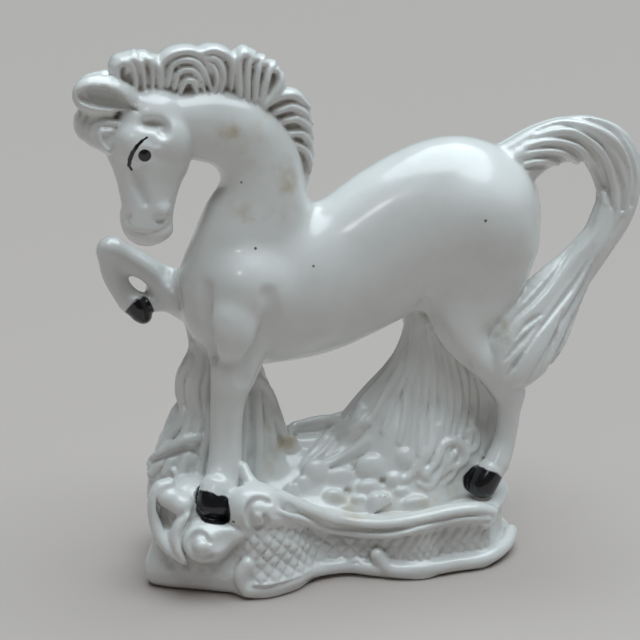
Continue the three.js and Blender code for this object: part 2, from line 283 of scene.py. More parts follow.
def boxBlur(values, radius):
    # mean over a cube of the given radius in millimetres
    cells = max(1, int(round(radius / step)))
    for axis in range(3):
        total = np.cumsum(values, axis, dtype=np.float32)
        padded = np.concatenate([np.zeros_like(np.take(values, [0], axis)), total], axis)
        size = values.shape[axis]
        ahead = np.minimum(np.arange(size) + cells + 1, size)
        behind = np.maximum(np.arange(size) - cells, 0)
        values = (np.take(padded, ahead, axis) - np.take(padded, behind, axis)) / (2 * cells + 1)
    return values


horse, hair, support, base = (newClay() for _ in range(4))

body = {
    "barrel": [
        (-42, 0, 130, 32, 23), (-12, 0, 135.5, 34.5, 26), (12, 0, 144.5, 34.5, 26),
        (37, 0, 158.5, 36.5, 27), (57, 0, 164, 39.5, 29), (69, 0, 161.5, 39, 28),
    ],
    "neck": [
        (-41, 0, 138, 29.5, 22), (-35, 0, 163, 27, 20), (-31.5, -1, 182, 20.8, 17),
        (-33.5, -2, 195, 20, 15.5), (-41, -3, 206, 19, 14.5), (-53, -4, 212, 18, 13.5),
        (-64, -5, 215, 15, 13), (-73, -6, 216, 12.5, 12),
    ],
    "nearFore": [
        (-44, -11, 128, 18, 12), (-46, -15, 111, 13.5, 10.5), (-50, -18, 95, 9.5, 9),
        (-52, -18.5, 83, 8, 8), (-53, -20, 68, 7.9, 7.4), (-54, -22.5, 57, 8.3, 7.6),
        (-56, -26, 50.5, 8.8, 7.6),
    ],
    "farFore": [
        (-52, 10, 128, 17, 12), (-67, 14, 131, 12, 10.5), (-76, 16, 135, 9.5, 9), (-88, 18, 145, 7, 8),
        (-98, 18, 152, 6, 7),
    ],
    "farCannon": [
        (-99, 18, 151.5, 6.2, 6.8), (-100, 17, 143, 5.3, 6), (-96, 16, 134, 5.2, 6),
        (-92, 14, 128, 5.8, 6.2),
    ],
    "nearHind": [
        (68, -10, 151, 31, 18), (67, -10.5, 133, 24, 14), (62, -12, 118, 15, 12), (66, -14.5, 105, 9.5, 10),
        (75, -17, 95, 7.8, 8.5), (82, -18, 86, 7.6, 7.8), (85.2, -18, 77, 6.3, 6.8),
        (84.8, -18, 62, 5.4, 6.2), (82.5, -19, 53, 5.8, 6.2), (79, -21, 46, 6.6, 6.8),
    ],
    "groin": ((59, 0, 130), (18, 15, 12)),
    "farHindShift": ([95, 133], [16, 4]),  # heights, and how far forward the far hind leg stands there
    "swellings": [  # centre, radii, blend and turn
        ((-47, -20, 100), (6.5, 5, 7), 5, 0),  # near knee
        ((-100, 18, 153), (6.5, 6.5, 5.5), 4, 0),  # raised knee
        ((88, -18, 84), (4.5, 5.5, 8), 5, -20),  # hock
        ((-40, -16, 140), (18, 14, 17), 8, 0),  # shoulder
        ((68, -15, 166), (22, 16, 21), 8, 0),  # rump
        ((-48.5, -20.5, 124), (13, 12, 17), 2.5, 0),  # forearm's muscle
    ],
    "tendons": [  # the flat between tendon and bone down each lower leg
        ([(-53, 90), (-54, 80), (-55, 66), (-57, 57)], 1.5),
        ([(82, 78), (82, 68), (81, 58)], 1.3),
    ],
    "creases": [  # beside the forearm's muscle, along the breast and before the thigh, with the tool's radius
        ([(-61.5, 142), (-62.3, 135), (-61.8, 127), (-60.6, 119), (-59, 110)], 4.0),
        ([(-33.5, 140), (-32, 133), (-32.5, 126), (-36, 117), (-40.5, 109), (-44, 101)], 4.5),
        ([(43, 128), (48, 118), (54, 107), (61, 99)], 3.2),
        ([(-73, 149), (-73.5, 140), (-71.5, 131)], 3.2),
    ],
    "creaseShape": {"sink": -0.62, "blend": 3.2, "taper": (0.9, 1.0, 0.9)},  # the tool only grazes the clay
    "throatGap": (-59.3, 188.0, 8.6),  # x, z and radius
    "throatEnds": (-45, 0, 35),  # y of the gap's stations
    "breastLine": [(-63.4, 0, 174.5, 5.2, 20), (-67.2, 0, 166.5, 5.2, 20)],
    "raisedHole": ((-87.6, 15, 137), (6.0, 26, 2.0)),  # above the raised hoof
    "raisedHoleTurn": 38,
    "blend": 7.0,
    "legBlend": 5.0,
}


def modelBody():
    addTube(horse, body["barrel"])
    addTube(horse, body["neck"], body["blend"])
    addBall(horse, *body["groin"], body["blend"])
    addTube(horse, body["nearFore"], body["legBlend"])
    addTube(horse, body["farFore"], body["legBlend"])
    addTube(horse, body["farCannon"], blend=2.5)
    addTube(horse, body["nearHind"], body["legBlend"])
    heights, shifts = body["farHindShift"]
    farHind = [(x - np.interp(z, heights, shifts), -y, z, *radii) for x, y, z, *radii in body["nearHind"]]
    addTube(horse, farHind, body["legBlend"])
    addBalls(horse, body["swellings"])
    layTubes(horse, body["tendons"], blend=2.4, carve=True)
    x, z, r = body["throatGap"]
    cutTube(horse, [(x, y, z, r, r) for y in body["throatEnds"]], blend=4.5)
    cutTube(horse, body["breastLine"], blend=3.5)
    cutBall(horse, *body["raisedHole"], blend=1.6, turn=body["raisedHoleTurn"])


modelBody()
for _ in range(clay["smoothings"]):
    horse = boxBlur(horse, clay["smoothing"])
layTubes(horse, body["creases"], carve=True, **body["creaseShape"])
print("body modelled")

hoof = {
    "nearFore": [
        (-57.5, -28.5, 50.5, 8.0, 6.8), (-59.5, -31, 45.5, 8.8, 7.0), (-60.2, -32.5, 41.5, 8.6, 7.0),
    ],
    "nearHind": [(76.6, -22, 44, 6.3, 6.6), (73, -23, 39, 7.0, 7.0), (71, -23.5, 35.5, 6.9, 6.8)],
    "raised": [(-90, 13, 129, 5.4, 6.4), (-88, 12.5, 125, 5.6, 6.6), (-86, 12.5, 121.5, 3.8, 5.4)],
    "raisedWeb": [(-84, 13, 127.5, 4.2, 5.0), (-76, 13, 128, 5.0, 5.4)],
    "farHind": [(61, 22, 44, 7.2, 7), (57, 23, 39, 8, 7.4), (55, 23.5, 35.5, 7.8, 7.2)],
}
# over the near fore hoof
coronet = [(-64, -29, 52, 1.6, 3), (-57, -33, 50.5, 1.8, 3), (-50.5, -31, 46.5, 1.8, 3)]


def modelHooves():
    for stations in hoof.values():
        addTube(horse, stations, blend=1.2, capReach=0.55)
    addTube(horse, coronet, blend=1.4)


modelHooves()
print("hooves modelled")

head = {
    "skull": [
        (-79.5, -7, 217, 16, 13.5), (-82, -9, 205, 18.6, 14.6), (-83.5, -11, 193, 14.6, 12.2),
        (-84.5, -13, 181, 11.8, 10.8), (-85.5, -14, 172.8, 11.4, 10.2),
    ],
    "swellings": [  # centre, radii, blend and turn
        ((-76, -12, 209), (11.6, 12.5, 13.6), 1.6, 0),  # cheek
        ((-90, -16, 209.5), (7, 6, 5.5), 4, 20),  # brow
        ((-97, -6, 205), (4.5, 5, 6), 4, 0),  # far brow and eye
        ((-79.5, -21.5, 179.5), (3.8, 3.4, 3.6), 2.2, 0),  # near nostril
        ((-89.5, -10, 175.5), (7, 8, 5), 3, 0),  # muzzle
        ((-83, -14, 169), (8.5, 8, 4.6), 3, 0),  # lower lip
    ],
    "temple": [  # the hollow between ear, brow and cheek
        ((-82, -27, 217.4), (8.0, 10.5, 3.2), 2.4, 4),
        ((-77.8, -28.5, 214.6), (3.8, 9.0, 4.0), 2.4, 0),
    ],
    "lids": [
        ([(-92, 201.5), (-89.5, 207), (-85, 208.5), (-81.5, 205.5)], 1.0),
        ([(-91, 200.5), (-87, 200.5), (-83, 202)], 0.9),
    ],
    "eyeball": ((-86.3, -21.5, 204.6), (3.8, 2.8, 3.2)),
    "tearHollow": [(-91, 197), (-89, 190), (-87, 184)],
    "nostrils": [
        ([(-82.5, 176), (-80, 174.8), (-77.5, 176.2), (-76.6, 179.5)], 1.1),
        ([(-93, 177.5), (-95, 175.5), (-93.5, 173.6)], 1.1),
    ],
    "mouth": [(-97, 171.6), (-91, 170.2), (-84, 170), (-77, 171.6), (-73.5, 173.6)],
    "ear": [
        (-85, -8, 224, 5, 6), (-91, -10, 227, 5, 6.4), (-96, -11.5, 229, 7, 7),
        (-103, -12.5, 229.2, 9, 7.4), (-108, -13, 229.4, 8, 6), (-110.5, -13, 229, 5.6, 4.4),
    ],
    "farEar": [(-88, 3, 224, 5, 6), (-97, 8, 231, 6, 6), (-105, 11, 232, 4, 4), (-109, 12, 232, 2, 2)],
    "fillings": [  # under the forelock, and the lid's corner
        ((-101, -9, 210), (5.5, 7, 7), 1.5, 0),
        ((-80.4, -22.5, 207.2), (1.6, 2.2, 1.6), 1.0, 0),
    ],
    "earHollow": [
        (-90, -17.5, 223.6, 0.8, 5.0), (-95, -19.5, 226, 2.8, 8.0), (-100, -20.5, 228, 4.5, 10.0),
        (-105, -20.5, 229.2, 4.8, 9.6), (-109.5, -19, 229.4, 3.4, 6.0),
    ],
    "earFold": [(-110.5, 232), (-108.5, 228), (-105.5, 224.5)],
    "forelock": [
        [(-110.5, 222), (-112.6, 218), (-112.3, 213), (-109.5, 209.5)],
        [(-100, 221), (-106.5, 220.5), (-109.5, 217), (-110, 213), (-108, 209)],
        [(-98, 217), (-105, 217.5), (-108, 213), (-107, 209), (-103, 206)],
        [(-101, 214), (-104.5, 213), (-104, 209), (-102, 206.5)],
    ],
    "lockThick": 2.5,
    "lockDepth": 6.0,
    "lockPlace": (-6.5, -1.6),  # y of the first lock, and from each to the next
    "room": ((-120, -56, 150), (-50, 50, 254)),  # where the head meets the neck
}


def modelHead():
    face = newClay()
    addTube(face, head["skull"])
    addBalls(face, head["swellings"])
    for at, radii, blend, turn in head["temple"]:
        cutBall(face, at, radii, blend, turn)
    layTubes(face, head["lids"], sink=0.4, blend=1.4)
    addBall(face, *head["eyeball"])
    layTube(face, head["tearHollow"], 1.6, blend=4, carve=True)
    layTubes(face, head["nostrils"], blend=1, carve=True)
    layTube(face, head["mouth"], 0.6, blend=1.2, carve=True)
    addTube(face, head["ear"], blend=1.6)
    addTube(face, head["farEar"], blend=1.4)
    addBalls(face, head["fillings"])
    cutTube(face, head["earHollow"], blend=0.6)
    layTube(face, head["earFold"], 0.9, blend=0.7)
    first, apart = head["lockPlace"]
    for n, lock in enumerate(head["forelock"]):
        line = smoothCurve(lock, 8)
        size = head["lockThick"] * np.interp(np.linspace(0, 1, 8), [0, 0.4, 1], [0.8, 1, 0.6])
        middle, deep = np.full(8, first + apart * n), np.full(8, head["lockDepth"])
        addTube(face, np.column_stack([line[:, 0], middle, line[:, 1], size, deep]))
    spans = cut(*head["room"])[0]
    horse[spans] = softMin(horse[spans], face[spans], 1.6)


modelHead()
print("head modelled")

mane = {
    "ridge": [
        (-94, -6, 233.5, 6.0, 4), (-84, -6, 235.5, 6.6, 4.4), (-74, -5, 235.5, 7.4, 4.4),
        (-62, -4, 237.5, 7.6, 4.4), (-51, -4, 237.5, 7.6, 4.4), (-41, -3, 234.5, 7.6, 4.4),
        (-31, -2, 229.5, 7.4, 4.4), (-23, -1, 221.5, 6.8, 4), (-18, 0, 212.5, 5.4, 3.8),
        (-15, 0, 203, 4.2, 3.4), (-13, 0, 193, 3.6, 3.6), (-11, 0, 186, 2, 3),
    ],
    "nested": [  # each lock in x and z, with its thickness
        ([(-96, 235), (-95.5, 241), (-92.5, 243), (-89.5, 241), (-88, 236), (-88, 231)], 2.6),
        ([(-91, 241), (-89.5, 244), (-86.5, 243), (-84.5, 238), (-84, 232)], 2.1),
        ([(-85, 243), (-82, 243.5), (-80.5, 239), (-80.5, 231)], 1.9),
        ([(-80, 243), (-78, 240), (-77.5, 234)], 1.7),
        ([(-77, 234), (-76.5, 241), (-73.5, 245), (-68, 247), (-62, 246.5), (-58, 243.5), (-55.5, 239)], 2.6),
        ([(-73.5, 235), (-72, 240.5), (-68, 243), (-63, 242.8), (-59, 239.5), (-56.5, 234.5),
          (-55, 230.5)], 2.2),
        ([(-70.5, 233.5), (-69, 237.5), (-65, 239), (-61.4, 237.2), (-59.2, 233.5), (-58, 229.5)], 1.9),
        ([(-68, 230.5), (-66.2, 233.6), (-63.6, 234), (-62, 231), (-61.5, 228)], 1.8),
        ([(-58.5, 246), (-53.5, 247), (-48, 245), (-45.5, 240.5), (-45.5, 232)], 2.6),
        ([(-56, 243.8), (-52.5, 243), (-50, 239.5), (-49.3, 234), (-50.5, 229)], 2.2),
        ([(-54.5, 240.5), (-52.9, 238), (-52.2, 233.5), (-53, 229)], 1.7),
        ([(-42, 229), (-42.5, 237), (-42, 243), (-39.5, 244.5), (-37.5, 243.5)], 2.4),
        ([(-38.5, 227), (-38.5, 235), (-37.5, 241.5), (-34.5, 242.5)], 2.2),
        ([(-35, 226), (-34.5, 233), (-33, 239.5), (-31, 240)], 2.1),
        ([(-32, 224), (-30.5, 230.5), (-28.5, 237), (-26.5, 237)], 2.3),
        ([(-30.5, 222), (-26, 227), (-23.5, 231.5), (-24, 235.5)], 2.9),
        ([(-28, 223.5), (-22, 226), (-16.5, 225.5), (-11, 221)], 2.9),
        ([(-24.5, 219), (-18.5, 220.5), (-13, 218), (-9.5, 214)], 2.7),
        ([(-21, 214.5), (-16, 215), (-11.5, 212), (-9, 207.5)], 2.7),
        ([(-18.5, 208.5), (-13.5, 208), (-10.5, 204.5), (-8.5, 200)], 2.5),
        ([(-15.5, 203), (-12, 200.5), (-10, 196.5), (-9.5, 191.5)], 2.3),
    ],
    "halfDepth": 9.0,
    "blend": 1.1,
    "thickness": ([0, 0.3, 0.7, 1], [0.85, 1, 0.95, 0.45]),  # along a lock, as shares of its thickness
    "depths": ([0, 0.5, 1], [0.9, 1, 0.8]),  # the same for its depth
    "middle": ([-95, -10], [-6.5, -1.0]),  # x, and the y of the mane's middle there
    "narrowing": ([-30, -8], [1, 0.72]),  # x, and the share of the half depth there
}


def modelMane():
    addTube(hair, mane["ridge"], 1)
    for lock, thick in mane["nested"]:
        count = max(6, 2 * len(lock))
        line = smoothCurve(lock, count)
        share = np.linspace(0, 1, count)
        size = thick * np.interp(share, *mane["thickness"])
        middle = np.interp(line[:, 0], *mane["middle"])
        narrow = np.interp(line[:, 0], *mane["narrowing"])
        deep = mane["halfDepth"] * narrow * np.interp(share, *mane["depths"])
        addTube(hair, np.column_stack([line[:, 0], middle, line[:, 1], size, deep]), mane["blend"])


modelMane()
print("mane modelled")

tail = {
    "fall": [
        (82, 0, 182, 15, 12), (92, 0, 190.5, 12, 11), (103, 0, 197, 11, 10), (115, 0, 200, 10.8, 9),
        (127, 0, 199.5, 11, 8.5), (137, 0, 194.5, 11.5, 8), (143.5, 0, 184, 10.6, 7.6),
        (144.3, 0, 172, 9.2, 7.2), (141.5, 0, 161, 8.4, 7), (134.5, 0, 150, 8.4, 7), (126, 0, 139, 9.4, 7),
        (116, 0, 128, 11.6, 7.6), (106.5, -1, 116, 13.5, 8), (98.5, -2, 103, 14.5, 8), (93, -3, 92, 13, 8),
        (90, -4, 83, 8, 6.4),
    ],
    "upper": [  # grooves from the smooth root over the top and down the curve
        [(112, 211), (122, 210), (135, 205), (144, 194), (148.5, 180), (147.5, 168)],
        [(98, 205), (108, 208), (117, 206.5), (127, 201), (136, 191), (142, 177), (143, 166)],
        [(94, 201.5), (103, 203), (113, 202), (122, 198), (130, 190), (135.5, 178), (137.5, 168)],
        [(92, 197), (100, 198.5), (109, 198), (117, 195), (124, 189), (129.5, 179)],
        [(91, 192.5), (98, 194), (106, 193.5), (112, 191)],
        [(90, 188), (96, 189.5), (101, 189)],
    ],
    "upperRidges": [
        [(107, 208), (116, 208.5), (126, 206), (138, 198.5), (145.5, 186), (146, 172), (144, 164)],
        [(97, 203.5), (107, 205.5), (117, 204.5), (126, 199), (133.5, 191), (139, 178), (140, 168)],
        [(93, 199.5), (102, 201), (112, 200), (121, 195.5), (127.5, 188), (132.5, 178), (134.5, 169)],
        [(92, 195), (100, 196.5), (108, 196), (115.5, 193), (121, 189)],
        [(91, 190.5), (97, 192), (104, 191.5), (109, 190)],
    ],
    "bundle": [  # the hair that starts under the curve and spreads down to the hock
        (136.4, -1, 172, 3.4, 4.5), (135, -2.2, 163, 5.8, 5.8), (131.6, -3.5, 152, 7.6, 7),
        (121, -5, 138, 10.5, 7.6), (109, -9, 125, 15, 8.8), (98, -14, 113, 19, 10),
        (89.5, -17.5, 103, 18, 10.5), (85, -19, 94, 12.5, 9.5), (84, -18, 88, 6.5, 7),
    ],
    "lower": [  # grooves down the bundle
        [(128, 149), (124, 141), (116, 131), (104, 120), (94, 111), (86, 101)],
        [(130, 145), (126, 137), (119, 126), (108, 113), (98, 100), (91, 89)],
        [(131, 138), (128, 131), (121, 120), (112, 107), (104, 95), (98, 84)],
        [(120, 150), (112, 142), (103, 133), (94, 126), (84, 119), (77, 111)],
        [(111, 121), (104, 106), (98, 92)],
        [(99, 121), (91, 117), (84, 111)],
        [(117, 117), (109, 103), (102, 89)],
        [(97, 117), (87, 109), (79, 101)],
        [(88, 104), (83, 97), (80, 92)],
    ],
    "fallShape": {"flutes": 9, "relief": 0.9, "twist": 1.2},
    "bundleShape": {"blend": 0.8, "flutes": 7, "relief": 0.8, "twist": 0.5},
    "upperRidgesShape": {"thick": 1.9, "taper": (0.25, 1.0, 0.8)},
    "upperShape": {"thick": 1.3, "carve": True, "taper": (0.4, 1.1, 0.9)},
    "lowerShape": {"thick": 1.5, "blend": 1.2, "carve": True, "taper": (0.3, 1.0, 0.3)},
}


def modelTail():
    addTube(hair, tail["fall"], **tail["fallShape"])
    addTube(hair, tail["bundle"], **tail["bundleShape"])
    for face in (-1, 1):
        for name in ("upperRidges", "upper", "lower"):
            for line in tail[name]:
                layTube(hair, line, face=face, **tail[name + "Shape"])


modelTail()
print("tail modelled")

drape = {
    "fore": [
        (-50.8, 4, 122, 16.8, 7), (-50.3, 4, 109, 15.3, 8), (-50, 4, 102, 16.5, 8.3),
        (-50.5, 4, 95, 19.5, 8.8), (-51, 4, 89.5, 21, 9.2), (-50, 5, 84, 21, 9.6), (-48, 5, 79, 21.5, 10),
        (-47.5, 5, 74, 23, 10.7), (-48.3, 5, 70, 25.8, 11.5), (-49.3, 5, 64, 29.3, 13),
        (-49.5, 4, 57, 30.5, 15.3), (-50, 4, 50, 34, 17.2), (-51.3, 3, 41, 35.8, 20), (-52, 2, 32, 36, 23),
    ],
    "hind": [
        (58, 1, 132, 16, 7), (57, 1, 114, 16.5, 8), (57, 1, 102, 18.5, 9), (56.5, 1, 93, 22, 10),
        (56, 1, 84, 26.5, 11), (53, 1, 75, 30, 12), (50, 1, 66, 34, 14), (46, 0, 55, 39, 17),
        (42, 0, 42, 43, 23), (42, 0, 32, 43, 27),
    ],
    "legWeb": [
        (79, -3, 96, 4.5, 7), (82, -4, 82, 4.5, 8), (83, -5, 68, 4.5, 8), (80.5, -5, 54, 5, 9),
        (77, -5, 42, 6, 10),
    ],
    "bank": [(-30, 8, 45, 13, 10), (-10, 10, 50, 13.5, 9), (10, 9, 53, 14, 10), (30, 6, 57, 17, 12)],
    "foreGuides": [
        [(-64, 111), (-65.5, 102), (-71, 93), (-71, 86), (-69, 79), (-72.5, 71), (-78, 64),
         (-80, 56), (-86, 47)],
        [(-62, 109), (-62, 100), (-66, 91), (-65, 83), (-64, 76), (-68, 68), (-74, 60), (-78, 50)],
        [(-60, 106), (-61, 95), (-64, 86), (-60, 77), (-62, 68), (-67, 56), (-70, 44)],
        [(-50, 104), (-50, 92), (-51, 80), (-51, 68), (-53, 55), (-55, 42)],
        [(-41, 102), (-39, 92), (-39, 80), (-40, 68), (-42, 55), (-44, 43)],
        [(-35, 98), (-33, 88), (-32, 76), (-31, 64), (-31, 52), (-32, 42)],
        [(-34, 92), (-29, 84), (-26, 74), (-23, 64), (-20, 54), (-18, 44)],
    ],
    "hindGuides": [
        [(40, 120), (39, 110), (36, 100), (30, 91), (24, 84), (16, 76), (9, 68)],
        [(41, 120), (41, 108), (38, 96), (33, 86), (28, 76), (22, 66)],
        [(43, 119), (44, 107), (42, 95), (39, 82), (37, 70), (34, 58)],
        [(46, 117), (47, 105), (47, 93), (46, 80), (44, 67), (41, 54)],
        [(50, 112), (53, 99), (54, 86), (54, 74), (51, 62), (47, 50)],
        [(56, 104), (59, 95), (61, 83), (61, 72), (57, 61), (50, 50)],
        [(62, 98), (67, 90), (69, 80), (68, 70), (64, 60), (58, 50)],
        [(68, 93), (74, 84), (77, 72), (77, 60), (76, 48)],
        [(75, 84), (79, 74), (81, 62), (82, 50), (83, 41)],
    ],
    "foreShape": {"capReach": 0.3, "flutes": 9, "relief": 1.6, "wave": 0.9, "waves": 2},
    "hindShape": {"capReach": 0.3, "flutes": 11, "relief": 1.6, "wave": 0.7, "waves": 1.5},
    "combs": [  # the strands between guides, in front (face -1) and behind
        ("foreGuides", {"count": 9, "thick": 2.8, "blend": 0.5, "sink": 0.1, "taper": (0.7, 1.0, 0.9)}),
        ("hindGuides", {"count": 15, "thick": 2.2, "blend": 0.5, "sink": 0.2, "taper": (0.6, 1.0, 0.8)}),
        ("foreGuides", {"count": 8, "thick": 2.4, "face": 1, "sink": 0.4, "taper": (0.7, 1.0, 0.8)}),
        ("hindGuides", {"count": 10, "thick": 2.4, "face": 1, "sink": 0.4, "taper": (0.6, 1.0, 0.8)}),
    ],
}


def modelDrapes():
    addTube(support, drape["fore"], **drape["foreShape"])
    addTube(support, drape["hind"], **drape["hindShape"])
    for guides, shape in drape["combs"]:
        comb(support, drape[guides], **shape)
    addTube(support, drape["legWeb"], blend=3)
    addTube(support, drape["bank"], blend=2)


modelDrapes()
print("drapes modelled")

ground = {
    "slope": [  # bars of clay side by side from the rim up and over the bank: y, z and radius
        (-23, 27, 9), (-13, 35, 11), (-2, 43, 13), (9, 40, 14), (18, 30, 12),
    ],
    "slopeEnds": (-30, 42),
    "slopeBlend": 6,
    "leafShape": {"sink": 0.55, "blend": 1.2, "taper": (0.7, 1.0, 0.7)},
    "creaseShape": {"thick": 1.5, "blend": 1.6, "carve": True},
    "spiralShape": {"sink": 0.3, "blend": 1.0, "taper": (0.7, 1.0, 0.7)},
    "ridgeShape": {"sink": 0.3, "blend": 1.2, "taper": (0.6, 1.0, 0.8)},
    "leaves": [  # each leaf's midline and half width
        ([(-20, 61), (-11, 62), (-1, 63.5), (8, 65), (17, 69)], 3.6),
        ([(-14, 49), (-8, 53), (-2, 56), (5, 61), (11, 66.5), (15, 73)], 4.4),
        ([(-12, 43), (-6, 48), (2, 52.5), (10, 55.5), (17, 60)], 3.6),
    ],
    "creases": [
        [(-12, 54), (-4, 58.5), (4, 64), (11, 70)],
        [(-9, 50.5), (3, 55.5), (12, 61), (17, 67)],
        [(-3, 47.5), (6, 50), (14, 53)],
    ],
    "lobes": [  # x, z, half width, half height and turn
        (-10, 47.5, 6.4, 7.2, 0), (1.5, 45, 7.4, 5.0, 0), (-2, 37.5, 5.8, 4.0, 20), (9, 36, 3.8, 2.8, 0),
        (17, 48.5, 8.0, 6.8, 0), (14.5, 40, 6.0, 4.2, 10), (27, 43, 4.6, 3.8, 0), (33, 52, 4.6, 5.4, 0),
        (-20, 57, 4.4, 6.6, 0), (-17, 43, 3.8, 5.0, 0), (-23, 40, 3.6, 6.0, 0), (36, 33, 6.6, 3.6, 0),
        (43, 44, 3.6, 5.4, -20), (30, 38, 3.4, 2.6, 0),
    ],
    "pits": [(4.5, 39.5, 2.0), (8.5, 49, 1.8), (21.5, 43, 1.8), (30.5, 42, 1.2)],
    "shell": ((18, 34.5), 6.2),  # x and z, and radius
    "shellLeans": [-0.38, 0.06, 0.5, 0.94, 1.38],  # direction of each ridge, in radians from upright
    "shellShape": {"thick": 0.9, "sink": 0.1, "blend": 0.6, "taper": (0.5, 1, 0.9)},
    "lobeDepth": 0.66,  # as a share of the smaller half width
    "lobeSink": 0.25,  # how deep its centre lies, as a share of its own depth
    "spirals": [
        ([(42, 45), (48, 51), (52, 57.5), (58, 58.5), (63, 55), (63.5, 49.5), (59, 46.5),
          (55.5, 49.5), (58, 53)], 2.4),
        ([(39, 41), (44, 39), (49, 44), (53, 49)], 2.2),
        ([(50, 39), (55, 41), (58, 45), (55, 46.5), (51.5, 43)], 2.0),
        ([(65, 53), (70, 53), (71.5, 58.5), (69, 62), (65, 60)], 2.2),
        ([(30, 42), (36, 45), (41, 51), (46, 58), (50, 66)], 2.6),
    ],
    "leftRidges": [  # the drape's lip and the strand down to the near fore hoof
        ([(-86.8, 51.6), (-84.2, 54.9), (-80.4, 58.5), (-75.6, 62.6), (-70.9, 65.6), (-64.0, 66.5)], 2.8),
        ([(-77.0, 51.8), (-73.4, 48.0), (-69.8, 43.7)], 1.8),
    ],
    "leftGrooves": [
        ([(-86.8, 52.9), (-82.1, 56.0), (-77.4, 58.6), (-71.8, 61.0), (-67.1, 60.8),
        (-64.9, 56.5), (-66.0, 51.1)], 1.9),
    ],
    "leftEye": (-68.0, 56.0, 3.0),
}


def surfaceAt(field, x, z):
    return lieOn(field, [(x - 0.5, z), (x + 0.5, z)])


def lobe(field, x, z, wide, tall, turn=0.0, blend=1.5):
    spot = surfaceAt(field, x, z)
    if spot is None:
        return
    depth = ground["lobeDepth"] * min(wide, tall)
    addBall(field, (x, spot[0, 1] + ground["lobeSink"] * depth, z), (wide, depth, tall), blend, turn)


def modelGround():
    left, right = ground["slopeEnds"]
    for y, z, r in ground["slope"]:
        bar = [(left, y, z, r, r), (0, y, z + 1, r, r), (right, y, z + 2, r, r)]
        addTube(support, bar, ground["slopeBlend"])
    layTubes(support, ground["leaves"], **ground["leafShape"])
    for line in ground["creases"]:
        layTube(support, line, **ground["creaseShape"])
    for place in ground["lobes"]:
        lobe(support, *place)
    for x, z, r in ground["pits"]:
        cutBall(support, (x, surfaceAt(support, x, z)[0, 1], z), (r, r * 1.3, r), 1.2)
    (x, z), r = ground["shell"]
    lobe(support, x, z, r, r * 0.86)
    for lean in ground["shellLeans"]:
        ends = [(x - r * 0.7, z - r * 0.5), (x + r * 0.9 * math.sin(lean), z + r * 0.75 * math.cos(lean))]
        layTube(support, ends, **ground["shellShape"])
    layTubes(support, ground["spirals"], **ground["spiralShape"])
    layTubes(support, ground["leftRidges"], **ground["ridgeShape"])
    layTubes(support, ground["leftGrooves"], blend=1.2, carve=True)
    x, z, r = ground["leftEye"]
    lobe(support, x, z, r, r, blend=0.8)


modelGround()
print("leaves and blossoms modelled")

plinth = {
    "length": 186,
    "depth": 98,
    "height": 30,
    "plan": [  # shares of half the length and half the depth, from the right end along the front
        (0.99, -0.05), (0.95, -0.34), (0.84, -0.66), (0.75, -0.81), (0.65, -0.83), (0.52, -0.84),
        (0.43, -0.92), (0.35, -0.92), (0.18, -0.8), (0, -0.64), (-0.14, -0.7), (-0.25, -0.88),
        (-0.39, -0.99), (-0.49, -0.98), (-0.58, -0.9), (-0.8, -0.72), (-0.92, -0.62), (-1, -0.48),
        (-0.96, -0.17), (-0.94, 0.1), (-0.9, 0.46), (-0.78, 0.74), (-0.48, 0.88), (-0.15, 0.82),
        (0.15, 0.86), (0.48, 0.912), (0.76, 0.84), (0.93, 0.52),
    ],
    "profile": [  # height and how far the wall stands out there
        (0, -1.0), (1.2, -0.1), (6.4, -0.1), (7.8, -1.4), (8.6, -3.6), (9.6, -4.2), (22, -4.2),
        (24.5, -1.6), (27.5, -1.2), (30, -3.6),
    ],
    "blockProfile": [  # the same for the block under the crescents, left of blockTo
        (0, -4.4), (1.5, -2.4), (4, -0.8), (8, -0.1), (12, -0.6), (17, -2.4), (21, -4.2), (30, -4.4),
    ],
    "blockTo": -52,
    "blockBack": (0, 20),  # y over which the block gives way to the plain back wall
    "front": (-22, -14),  # y over which the carved front gives way to the plain wall
    "panel": ((7.4, 9.4), (22.5, 25)),  # heights over which the panel begins and ends
    "rimBlend": 3.0,
    "liftFrom": 15,
    "lift": [  # how far the wall rises above the plinth's height under the high end of the rim
        (-54, 0), (-46, 13), (-38, 13), (-31, 11), (-20, 5.5), (-8, 1), (0, 0),
    ],
    "latticePitch": 7.2,
    "latticeRelief": 1.7,
    "ridgePitch": 5.6,
    "ridgeLean": 0.6,
    "flare": 3.9,  # how far the latticed panel leans out towards the foot
    "flareFrom": (-54, -44),  # x over which it begins
    "flareHeights": (22, 14),  # top of the lean, and how far down it grows
    "latticeFrom": -88,
    "latticeTo": 9,
    "ridgesTo": 78,
}


def smoothStep(x, low, high):
    t = np.clip((x - low) / (high - low), 0, 1)
    return t * t * (3 - 2 * t)


def stepAt(x, middle, half):
    return smoothStep(x, middle - half, middle + half)


